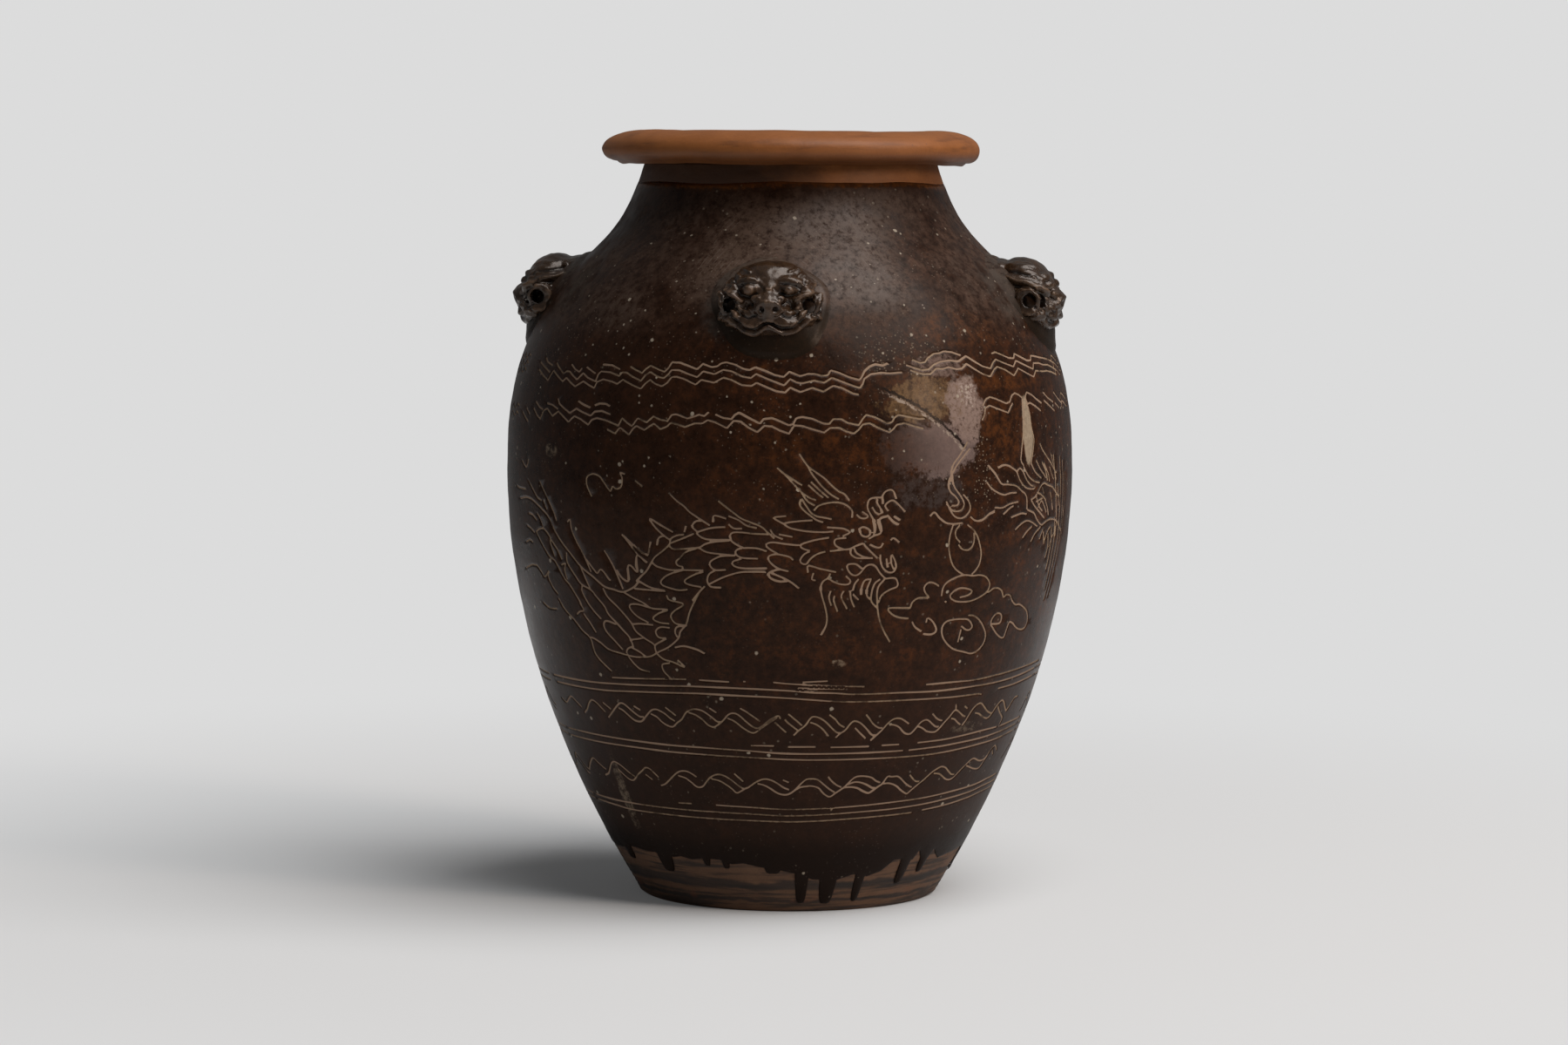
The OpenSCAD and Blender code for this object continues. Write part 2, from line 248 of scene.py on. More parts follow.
class Finish:
    """One material: places to read on the object, colours to mix and a shader to feed."""

    def __init__(self, name, **constants):
        self.material = bpy.data.materials.new(name)
        self.material.use_nodes = True
        self.tree = self.material.node_tree
        self.shader = self.tree.nodes["Principled BSDF"]
        for key, value in constants.items():
            self.shader.inputs[key.replace("_", " ")].default_value = value
        place = self.node("ShaderNodeTexCoord", out="Object")
        self.place = self.node("ShaderNodeVectorMath", {"operation": "SCALE"},
                               {0: place, "Scale": 1000.0})
        split = self.node("ShaderNodeSeparateXYZ", inputs={0: self.place})
        self.x = split
        self.y = Sock(self.tree, split.socket.node.outputs[1])
        self.z = Sock(self.tree, split.socket.node.outputs[2])

    def node(self, kind, settings=None, inputs=None, out=0):
        return add_node(self.tree, kind, settings, inputs, out)

    def stretched(self, sx, sy, sz):
        """The place in mm, stretched, to draw noise out into streaks."""
        return self.node("ShaderNodeVectorMath", {"operation": "MULTIPLY"}, {0: self.place, 1: (sx, sy, sz)})

    def noise(self, size, detail=3.0, roughness=0.55, place=None, distortion=0.0):
        """Noise from 0 to 1 with lumps of about size mm."""
        return self.node("ShaderNodeTexNoise", inputs={
            "Vector": place or self.place, "Scale": 1.0 / size, "Detail": detail,
            "Roughness": roughness, "Distortion": distortion})

    def cells(self, size, feature="F1", out="Distance", randomness=1.0):
        return self.node("ShaderNodeTexVoronoi", {"feature": feature}, {
            "Vector": self.place, "Scale": 1.0 / size, "Randomness": randomness}, out)

    def painted(self, name):
        """A value that the mesh carries at each point."""
        return self.node("ShaderNodeAttribute", {"attribute_name": name}, out="Fac")

    def mix(self, low, high, factor):
        return self.node("ShaderNodeMix", {"data_type": "RGBA"},
                         {"Factor": factor, 6: low, 7: high}, out=2)

    def feed(self, **links):
        for key, value in links.items():
            self.tree.links.new(value.socket, self.shader.inputs[key.replace("_", " ")])

    def bump(self, height, distance, strength=1.0):
        """Height from 0 to 1 becomes relief of distance mm."""
        made = self.node("ShaderNodeBump", inputs={
            "Strength": strength, "Distance": distance * MM, "Height": height}, out="Normal")
        self.feed(Normal=made)


def dress(piece, finish):
    piece.data.materials.clear()
    piece.data.materials.append(finish.material)


print("helpers ready")

# %% [markdown]
# Floor, light and camera
#
# The photograph is a studio shot on pale grey paper. The floor is a wide plane and the backdrop
# another behind it. A broad soft lamp stands high at the right, a tall window of light lower at
# the right gives the glaze its gleam, and the sky fills in weakly. The camera's lens, height and
# tilt were worked out from the rim's and the foot's ellipses.

# %% Pale floor and backdrop
PALE = 0.716
PLAIN_FLOOR = (400, 1200)
DIM, DIM_FLOOR = 0.12, (1150, 1800)
GLOSS_SHARE = 0.15


def seen_directly(tree):
    """1 for what the camera sees, also through glass, a small share for what shows in gloss, else 0."""
    path = add_node(tree, "ShaderNodeLightPath")
    outputs = path.socket.node.outputs
    glossy, through = Sock(tree, outputs["Is Glossy Ray"]), Sock(tree, outputs["Is Transmission Ray"])
    return path.most(glossy * GLOSS_SHARE).most(through)


def pale_paper(name, near_light, far_light=1.0):
    """Pale paper whose own light, a share near the jar and another beyond it, shows directly and in gloss."""
    paper = Finish(name, Roughness=0.9)
    paper.shader.inputs["Specular IOR Level"].default_value = 0.0
    glow = add_node(paper.tree, "ShaderNodeEmission", inputs={"Color": (PALE, PALE, PALE), "Strength": 1.0})
    reach = paper.node("ShaderNodeVectorMath", {"operation": "LENGTH"}, {0: paper.place}, out=1)
    own_light = reach.step(*PLAIN_FLOOR) * (far_light - near_light) + near_light
    paper.feed(Base_Color=paper.mix((PALE, PALE, PALE), (DIM, DIM, DIM), reach.step(*DIM_FLOOR)))
    both = add_node(paper.tree, "ShaderNodeMixShader", inputs={0: seen_directly(paper.tree) * own_light})
    node = both.socket.node
    paper.tree.links.new(paper.shader.outputs[0], node.inputs[1])
    paper.tree.links.new(glow.socket, node.inputs[2])
    paper.tree.links.new(both.socket, paper.tree.nodes["Material Output"].inputs["Surface"])
    return paper


floor = make_object("floor", [(-9000, -6000, 0), (9000, -6000, 0), (9000, 6000, 0), (-9000, 6000, 0)],
                    [(0, 1, 2, 3)], smooth=False)
backdrop = make_object("backdrop", [(-9000, 6000, 0), (9000, 6000, 0), (9000, 6000, 7000), (-9000, 6000, 7000)],
                       [(0, 1, 2, 3)], smooth=False)
dress(floor, pale_paper("floor_paper", 0.06))
dress(backdrop, pale_paper("backdrop_paper", 1.0))

# %% Lamps and sky
def soft_lamp(name, direction, elevation, distance, size, power, colour=(1, 1, 1), aim=(0, 0, 0.28)):
    lamp = bpy.data.lights.new(name, "AREA")
    lamp.shape, lamp.size, lamp.size_y, lamp.energy, lamp.color = "RECTANGLE", size[0], size[1], power, colour
    made = bpy.data.objects.new(name, lamp)
    a, e = math.radians(direction), math.radians(elevation)
    reach = Vector((math.sin(a) * math.cos(e), -math.cos(a) * math.cos(e), math.sin(e)))
    made.location = Vector(aim) + reach * distance
    made.rotation_euler = reach.to_track_quat("Z", "Y").to_euler()
    bpy.context.collection.objects.link(made)
    return made


soft_lamp("high_lamp", 62, 61, 12.0, (11.0, 11.0), 1660)
soft_lamp("window_lamp", 57, 18, 6.0, (1.1, 1.8), 105, colour=(1.0, 0.84, 0.72))
world = bpy.data.worlds.new("sky")
bpy.context.scene.world = world
world.use_nodes = True
sky = world.node_tree.nodes["Background"]
sky.inputs["Color"].default_value = (0.9, 0.95, 1.0, 1)
sky.inputs["Strength"].default_value = 0.07
pale_sky = add_node(world.node_tree, "ShaderNodeBackground", inputs={"Color": (PALE, PALE, PALE), "Strength": 1.0})
both_skies = add_node(world.node_tree, "ShaderNodeMixShader", inputs={
    0: seen_directly(world.node_tree), 1: Sock(world.node_tree, sky.outputs[0]), 2: pale_sky})
world.node_tree.links.new(both_skies.socket, world.node_tree.nodes["World Output"].inputs["Surface"])

# %% Camera
LENS, TILT, EYE, DISTANCE = 106.0, 4.66, 0.5088, 3.148
ASIDE, LEAN = -0.00364, 0.0045
camera = bpy.data.objects.new("camera", bpy.data.cameras.new("camera"))
bpy.context.collection.objects.link(camera)
camera.data.lens, camera.data.sensor_width = LENS, 36
camera.data.clip_end = 60
camera.location = (ASIDE, -DISTANCE, EYE)
looking = Matrix.Rotation(math.radians(90 - TILT), 4, "X") @ Matrix.Rotation(LEAN, 4, "Z")
camera.rotation_euler = looking.to_euler()
bpy.context.scene.camera = camera
bpy.context.scene.view_settings.view_transform = "Standard"
print("camera", [round(v, 4) for v in camera.location])

# %% [markdown]
# The drawing
#
# Before it was fired, the potter drew through the wet glaze into the clay: with a point for the
# dragon, the pearls and the clouds, and with a two- or three-toothed comb for the zigzag and wavy
# bands. A real line has a depth that catches light, so the lines are cut as grooves in the glaze's
# mesh and not painted. Each stroke is a list of turn and height, in degrees and mm, read one by one,
# and a smooth curve runs through them.

# %% Head of the dragon
HEAD = [
    [1.8, 312, 3.4, 304.5, 4.7, 301, 6.6, 296.5, 8, 292, 9.4, 288, 10.6, 286, 11.5, 282],
    [3.4, 304.5, 4.3, 299, 6, 292, 7.7, 286.5, 9.4, 283], [3.6, 292, 5.4, 286.5, 6.4, 284],
    [4.1, 294, 6, 288, 7.4, 284],
    [-2.4, 303, -0.7, 298, 0.1, 295, 1.4, 290.4, 2.3, 287.3, 3.7, 284, 5, 282.3],
    [-0.7, 298.5, 0.9, 295, 2.3, 292], [2.3, 287, 3.3, 282, 4.7, 279],
    [2.1, 282.7, 1.9, 279.6, 2.7, 275.8, 4.1, 272, 5.3, 269.2, 6.4, 268],
    [2.3, 283, 3.3, 278, 4.1, 274.2, 5.1, 272, 6.6, 271, 8, 270],
    [4.7, 275.8, 5.6, 278.8, 7.3, 280.4, 9.1, 280.8, 10.6, 279.6, 11.6, 277.3, 12.1, 275, 12.1, 271],
    [-0.7, 272, -3, 271, -2.6, 269.5, -1.2, 267, -0.1, 264.5, 1.6, 263, 3.7, 262, 6.6, 261.5, 8.4, 262],
    [-1.2, 267, 0.1, 268, 2.3, 268.8, 4.3, 269.2], [7.3, 264.6, 9.1, 264.2, 10.6, 263.5, 11.7, 261.2, 10.4, 259],
    [7.6, 258, 5.1, 256.5, 2.7, 254.2, 2.1, 252.3, 2.9, 250.4, 4, 249.2, 2.9, 247.3, 2.1, 243.5,
     2.4, 241.2, 3.3, 240.8, 4.1, 244.2, 5.4, 247.3, 6.9, 248.8],
    [10.9, 257.7, 9, 256.9, 8.7, 254.2, 9.3, 252, 10.4, 250.4],
    [7.9, 249.2, 10.4, 250, 11.7, 250.4, 13, 252.3, 14.4, 253.8, 14.9, 252, 15.9, 248.8, 17.4, 244.2],
    [12, 250, 12, 247.3, 13.1, 244.6, 14.9, 244.2, 16.4, 244.2], [12.6, 251.5, 13.1, 248, 14.4, 245.4, 15.6, 244.4],
    [3.6, 235.4, 3.7, 239.6, 6, 237.7, 9.1, 235.4], [5.1, 230, 4.4, 230.8, 4.7, 234.6],
    [8, 234.2, 7.6, 231.5, 6.6, 229.2, 6.2, 225, 6.5, 219.6, 7.1, 213.5, 7.6, 206.5, 7.5, 200.4, 6.6, 194.2],
    [7.6, 231.5, 8.9, 228.8, 10.3, 227.3, 11.7, 227.3, 12.1, 229.6, 11.2, 232.7],
    [8.2, 222.7, 7.9, 218.8, 8.4, 213.5], [9, 219.6, 8.9, 216.5, 9.7, 209.6], [10.8, 222.7, 10.4, 218.8, 11.6, 211.2],
    [12.1, 222.7, 12.4, 217.3, 13.1, 212.3], [12.8, 220.4, 13.9, 217], [13.7, 230.4, 13, 227.3, 12.7, 223.5],
    [16.3, 230.4, 15, 229.6, 14.4, 224.2, 14.4, 220.4], [16.2, 229.6, 15.6, 224.2, 15.6, 219.6, 16.3, 217.3],
    [18.1, 230, 17.1, 227.3, 16.6, 222, 16.6, 215.8, 17.9, 211.2],
    [19, 229.6, 18, 225.8, 17.7, 221.2, 17.9, 213.5, 18.4, 205, 19.4, 197.3, 21.2, 188.5],
    [19.1, 230.4, 21.1, 230.8, 21.8, 228.8, 21.9, 225, 20.3, 223, 18.7, 219.6, 18.1, 215],
    [14.4, 237.3, 13.1, 240.4, 11.7, 240.4, 11.3, 238.8, 11.9, 235, 12.9, 233, 13.9, 234.2, 15.1, 238.8,
     16.1, 240, 17.1, 238.8, 18.1, 234.2, 19.3, 230.4],
    [18, 246.2, 18.1, 242, 18.7, 237.3, 19.9, 234.6, 21, 235, 21.4, 238.8, 20.9, 243.5, 20.3, 246.2,
     20.3, 241.2, 20.9, 236.5],
    [19.3, 243.5, 19.6, 238], [20.1, 255.8, 20.6, 257, 21.8, 254.2], [15.9, 253, 17.1, 251.2, 18, 251.2, 18.4, 253.5],
    [18, 283.5, 16.4, 283.5, 15.4, 282, 15.1, 277.3, 15.6, 273.5, 16.4, 268.8, 16.7, 263.5, 16.6, 259.6],
    [15.6, 257, 16.6, 258.8, 17.9, 260.4, 17.8, 264.2, 17.4, 268, 18, 270.4, 19, 271.2],
    [17.1, 283.5, 17, 280.4, 17.6, 277.3, 18.1, 273.8], [16.1, 277.3, 16.7, 274.2, 17.4, 272.7],
    [18.3, 279.6, 18.1, 284.2, 18.7, 287.3, 19.7, 288.5, 20.4, 287.3, 20.9, 282.7],
    [19.3, 275, 18.7, 278, 19.3, 280.4, 20.3, 281.5, 21.4, 278.8, 22.8, 274.2],
    [19.4, 271.2, 20.4, 267.7, 21.4, 265.8], [20.7, 271, 21.7, 268.8],
    [13.6, 263.5, 14.4, 264.6, 15.6, 262.7, 15.7, 259.6, 15, 258.2, 14, 259.6, 13.6, 263.5],
    [13, 272.7, 13.9, 270.4, 14.9, 270.4, 15.2, 272, 14.1, 274.6],
]

# %% Neck of the dragon
NECK = [
    [-32, 226.5, -30.8, 230, -29.5, 233.5, -28.2, 239.5, -27.4, 243, -25.7, 247, -24.1, 251.5, -23.7, 255.5,
     -22.4, 257.8, -21, 258.5],
    [-23.5, 253, -21.2, 256, -18.9, 259.3],
    [-23.3, 260, -25.8, 264, -28.2, 268, -27.2, 263, -25.5, 258, -24.1, 255],
    [-26.8, 251, -26.4, 255.5, -25.5, 257], [-28.9, 244.5, -28.3, 252], [-32, 250, -30.5, 245.5, -28.9, 244.5],
    [-31.2, 243.5, -29.3, 239.3], [-20.8, 260.5, -20.5, 264], [-18.3, 261, -19.2, 264, -18.5, 267.3, -17.4, 268],
    [-23.7, 284.3, -22.4, 280.5, -20.8, 277, -19.7, 273.5, -17.8, 269.5, -15.7, 265.3],
    [-14.9, 267.5, -14.8, 271.3, -13.9, 271.3, -12.4, 269.8],
    [-12.6, 264.3, -15.1, 263.5, -16.8, 262, -18.2, 260, -17.4, 257.3, -15.7, 255.8, -11.8, 256],
    [-24.1, 250.8, -23.3, 248.8, -21.6, 249, -19.5, 249.8, -17.8, 250.5, -16.6, 252.8, -14.7, 254.5, -11.8, 255.5],
    [-17.8, 250, -16.2, 247.5, -13.3, 246.5, -10.7, 245.8],
    [-18.5, 249.8, -20.7, 247, -21.8, 243.5, -22.8, 240.5, -22.4, 238, -21.4, 237.3, -21.6, 235.5],
    [-28, 239, -27, 236.8, -24.3, 235, -21.4, 235.3, -17.2, 235.5],
    [-21.6, 235, -23.7, 233, -25.3, 230.5, -26.4, 227, -26, 224.5, -23.9, 222.5, -22.4, 221.8, -20.7, 222.5],
    [-17.2, 234.5, -18.7, 233, -20.5, 230, -21.2, 228, -20.5, 226, -17.8, 224.5], [-19.7, 215.5, -18.5, 220, -17, 225],
    [-12.6, 236.3, -14.7, 236, -15.7, 238.5, -15.7, 241, -14.7, 243.5, -13.2, 245.3, -10.7, 245.8],
    [-13.7, 224.5, -15.7, 225, -16.4, 228.5, -16, 233, -14.7, 235.8],
    [-15.8, 227, -13.7, 230.5, -11.8, 233, -9.5, 235, -7, 235.5, -4.9, 235.5],
    [-4.1, 260, -7, 260.3, -9.3, 261, -11, 260.8, -11.6, 258.5, -11.2, 255, -9.9, 252.3, -8.9, 250.8],
    [-4.5, 249, -6.4, 250.8, -8.9, 250.8, -10.3, 249.5, -10.5, 247, -9.3, 244.5, -6.2, 244],
    [-9.5, 243.8, -11, 242, -11.2, 240, -10.1, 238, -8, 237.5, -4.5, 237.8],
    [1.5, 253, -0.8, 253.8, -3.3, 254.8, -4.5, 253.5, -4.1, 251, -2.4, 247.5],
    [0.7, 243.5, -0.1, 245.5, -2.4, 247, -3.9, 246, -4.1, 243.5, -3.2, 240, -2, 237.5, -0.3, 236],
    [-2, 237.3, -3.7, 235.5, -4.1, 233.5, -3.5, 231, -2, 229.3, -0.5, 229.5], [-3.8, 235, -2.2, 233, -0.7, 230.8, 0.7, 228, 1.8, 225],
    [-13.8, 281, -12.2, 277, -10.8, 273.5, -9.3, 270, -7.4, 267.5, -5.5, 265, -4.3, 261.5, -3, 257.5],
    [-11.8, 271.5, -9.9, 269, -8.3, 265.5, -6.4, 264], [-11.8, 266, -10.8, 263.5, -9.3, 263.5],
    [-3.7, 263, -3, 259.5, -1.4, 257], [-2, 260, 0.5, 258.5],
]

# %% Body and tail of the dragon
BODY = [
    [-31.4, 226.5, -32.9, 222, -35.6, 218.5, -38, 219.6, -40.5, 221.2, -43.5, 227.3, -46.5, 232.7, -49.8, 242,
     -52.6, 249.6, -54.4, 255.8, -56.2, 263.5, -58.6, 268, -61.4, 272, -63.8, 274.2, -66.5, 274.6, -69.8, 273],
    [-64.7, 286.5, -62.9, 282, -60.5, 275.8, -58.9, 274.2],
    [-59.2, 286.5, -58, 282, -56.2, 275.8, -54.4, 268, -53.5, 262], [-58, 274.2, -56.8, 268.8],
    [-49.8, 262, -48.9, 263.5, -48.6, 257.3, -47.4, 250.4, -45.9, 243.5, -44.7, 236.5, -43.8, 230.4],
    [-44.7, 238, -42.9, 232, -42, 229.6, -40.8, 232.3, -38.8, 225.8], [-39.5, 245, -38, 238, -36.8, 230.4, -35.6, 221],
    [-36.7, 232.7, -35.6, 228, -34.4, 225.8, -33.9, 227.3, -33.9, 235, -33.2, 236.5, -31.7, 232.3, -31.8, 237.3,
     -31.4, 243.5, -29.5, 239.2],
    [-34.8, 256.5, -33.2, 251, -31.4, 244.2], [-34.4, 255.8, -31.7, 248.8, -29.8, 245, -28.9, 244.2, -28.2, 252.7],
    [-18, 222, -19.5, 213.5, -20.5, 207.3, -21.4, 199.6, -22.9, 194.2, -23.5, 189.6, -25.9, 183.5, -28.6, 179.6,
     -30.5, 176.5, -32.9, 175.4, -35.3, 175.4, -38.6, 177, -41.7, 178.8, -43.8, 182.7, -45.9, 185.4, -46.8, 185.4],
    [-55.6, 209.6, -53.8, 202.7, -51, 195.8, -48.9, 189.6, -46.8, 185, -46.1, 175.8, -44.7, 170.4, -42, 163.8],
    [-63.2, 229.6, -61.4, 225.8, -60.2, 222.7, -58, 227.3, -58.6, 223.5, -57.1, 216.5, -55.6, 212.7],
    [-62, 252.7, -59.8, 245.8, -57.1, 237.3, -55, 234.2, -52.6, 224.2, -50.8, 219.6, -48.9, 212, -48, 208],
    [-62, 252.7, -60.2, 255, -58.3, 255, -56.2, 250.4, -56.2, 246.5, -55, 238], [-61, 265, -59.8, 262, -58.5, 255.8],
    [-55.6, 248, -53.8, 242.7, -52.6, 236.5],
    [-50.8, 241.2, -50.8, 235, -48.9, 227.3, -47.1, 221.2, -44.4, 218, -42.9, 213.5, -41.1, 208, -40.2, 202.7,
     -38.3, 197.3, -36.8, 192.7, -35.3, 188, -34.7, 182],
    [-46.8, 233.5, -45.3, 223.5, -44.4, 218],
    [-40.8, 219.6, -39.8, 214.2, -37.7, 208.8, -35.9, 203.5, -34.4, 198, -33.5, 192.7, -31.7, 188.8, -29.5, 185],
    [-35.6, 218.5, -33.2, 215, -30.8, 212, -28.9, 208.8, -25.3, 208.5, -27.4, 205.8, -28.9, 202, -27.4, 199.6, -25.3, 199.2],
    [-28.9, 208.8, -32, 210.8, -34.1, 210.4, -34.2, 207.3, -32.6, 202.7, -30.2, 199.2], [-29.1, 197.7, -32, 198, -34.1, 197.3],
    [-25.3, 196.5, -27.4, 196.5, -28.6, 193.5, -28, 189.6, -26.2, 189.2, -28.3, 185.8, -29.2, 183.5, -28.9, 178.8,
     -27.4, 175, -25.3, 173.5, -22.6, 170.4, -24.1, 175],
    [-31.1, 225.8, -28.9, 222.7, -25.6, 220.8, -32.6, 221.2],
    [-25.3, 218, -24.7, 215, -21.7, 212.7, -23.8, 208, -24.7, 204.2, -23.8, 199.6, -21.4, 198.5, -23.5, 197.3,
     -24.1, 193.5, -23.5, 189.6],
    [-35.3, 186.5, -32.6, 188, -31.7, 188.8], [-35, 182, -36.2, 180.4, -36.7, 177.3, -35.6, 172, -33.8, 167.3, -31.4, 165.8],
    [-35, 181.2, -33.2, 178.8, -31.7, 175.8], [-24.4, 183.5, -22.3, 184.6, -19.5, 182.7, -18, 180.4],
    [-26.2, 172.7, -28, 171.2, -27.7, 166.5, -26.2, 162], [-38.6, 196.5, -41.1, 198, -42, 195, -41.4, 190.4, -39.8, 185.8, -37.7, 179.6],
    [-49.8, 200.4, -48.6, 202.7, -47.4, 203.5, -48.3, 208], [-47.6, 201.2, -45.9, 195, -44.7, 189.6],
    [-46.8, 220.4, -47.1, 216.5, -45.9, 209.6, -44.4, 204.2, -42.6, 199.2],
    [-52.9, 232.7, -51.5, 233.8, -52, 229.6, -51.5, 223.5],
    [-42.3, 280.4, -43.5, 287.3, -43.5, 292.7, -42, 295, -40.2, 293.8, -38.9, 289.6, -37.4, 284.6, -36.8, 287.7,
     -35.9, 286.2, -34.7, 288, -34.5, 293.5, -35, 297, -33.9, 296.2],
    [-31.4, 292.3, -29.8, 288.8], [-65, 264.2, -63.2, 263.5, -61.4, 260.4], [-66.5, 255.8, -64.7, 254.2, -62.9, 252],
    [-70.5, 225.8, -66.2, 229.2, -63.5, 229.6], [-67.7, 244.2, -65.6, 246.2, -64.1, 245],
    [-62.9, 205, -60.2, 202, -57.1, 202], [-71.7, 281, -69.8, 280, -66.2, 280], [-68.3, 298.8, -65.9, 295, -64.7, 300.4],
]

# %% Clouds and pearls
CLOUD = [
    [25.1, 210.4, 24, 210.7, 21.3, 211, 20.2, 210.4, 21.1, 207, 22.7, 204.6, 24.9, 203.6],
    [25.1, 210.7, 25.6, 214.6, 26.7, 216.8, 28.2, 217, 29.2, 216.8, 28.1, 221, 28, 224.3, 28.9, 226.8, 30, 226.4, 31.3, 224.3],
    [25.9, 201, 26.7, 197.5, 28.1, 194.6],
    [29.2, 200.4, 29.4, 203.2, 30.7, 200.7, 31.7, 196.4, 31.8, 193.6, 30.7, 192, 28.9, 192.5],
    [32.2, 217.5, 32.4, 222.9, 33.3, 226.4, 35.1, 229, 37.3, 230.4, 39.6, 229.6, 41.8, 229.6, 43.6, 227.5,
     44.7, 222.9, 44.1, 218.2, 42.2, 215, 40, 212.9, 37.8, 212.5, 35.6, 213.6, 34.3, 216.8, 35.3, 220.4,
     36.9, 221.8, 38.7, 221, 39.9, 219.3, 38.9, 216.8, 36.9, 215.7],
    [33.2, 213.6, 33.5, 213.2],
    [33.8, 264.6, 33.1, 257, 33, 248.6, 33.8, 240, 35.1, 234.6, 37.1, 230.7],
    [37.3, 263.6, 39.1, 259.3, 40.4, 252.9, 41.3, 244.3, 41.2, 237.9, 40.4, 233.6, 39.4, 230.7],
    [33.8, 264.6, 36, 265], [35.3, 263.6, 34.4, 260, 34.6, 255.7, 35.6, 252.5],
    [35.3, 250.7, 36.2, 247.9, 37.6, 247, 38.7, 249, 39.2, 252.9, 39, 257.9],
    [28.4, 270.7, 29.3, 272.9, 30.4, 269.3, 32, 265.7, 33.8, 264.6], [38, 268.6, 39.3, 266, 41.1, 266, 42.7, 269.3, 44.4, 271],
    [32, 279.3, 33.1, 272.9, 34.2, 269.3, 35.6, 268.2, 36.9, 270, 37.8, 274.3, 37.3, 279.3, 36, 283.6],
    [32.1, 277.9, 33.3, 273.9, 34.7, 272.9, 35.8, 274.3, 36.2, 277.9, 35.3, 282.9, 34, 287.9, 33.3, 292.9, 33.1, 300],
    [33.3, 276.8, 34.4, 276.8, 34.9, 279, 34, 282.9, 32.9, 285.7, 32.4, 290.7, 33.3, 297.9],
    [39.8, 203.2, 41.3, 202.5, 43.1, 199.3, 44.7, 194.3, 45.8, 188.6, 45.6, 182.9, 44, 178.2, 42.2, 177,
     40, 178.6, 37.3, 180.7, 35.1, 185, 33.6, 190.7, 33.3, 196.4, 34.2, 200, 36, 201, 38.2, 201, 40, 200,
     41.3, 195.7, 40.7, 193.2, 39.6, 193.6, 38.4, 196],
    [38.3, 193.6, 38, 185.7],
    [33.1, 300, 33.6, 304, 35, 309, 36.2, 314, 37, 318], [33.3, 297.9, 34.4, 303, 36, 308.5, 37.6, 313.5],
    [44.1, 218.2, 44.7, 217.9, 46, 220, 47.6, 219.6, 48.7, 217.5, 49.6, 213.2, 50.4, 214.6, 51.8, 213.9,
     52.9, 210, 54.4, 207, 56, 206.8, 58.2, 203.9, 60, 200, 60.9, 193.6, 60, 189.6, 58.2, 189.3, 56.4, 191,
     54.7, 194.3, 53.3, 195.4, 52.7, 190.7, 52.2, 185.7, 51.1, 185.7, 49.1, 189.3, 46.9, 195.4],
    [46.9, 195.4, 46.9, 198.6, 47.8, 202, 49.1, 202.5, 50.1, 200, 49.8, 195.7, 47.1, 195.7],
]

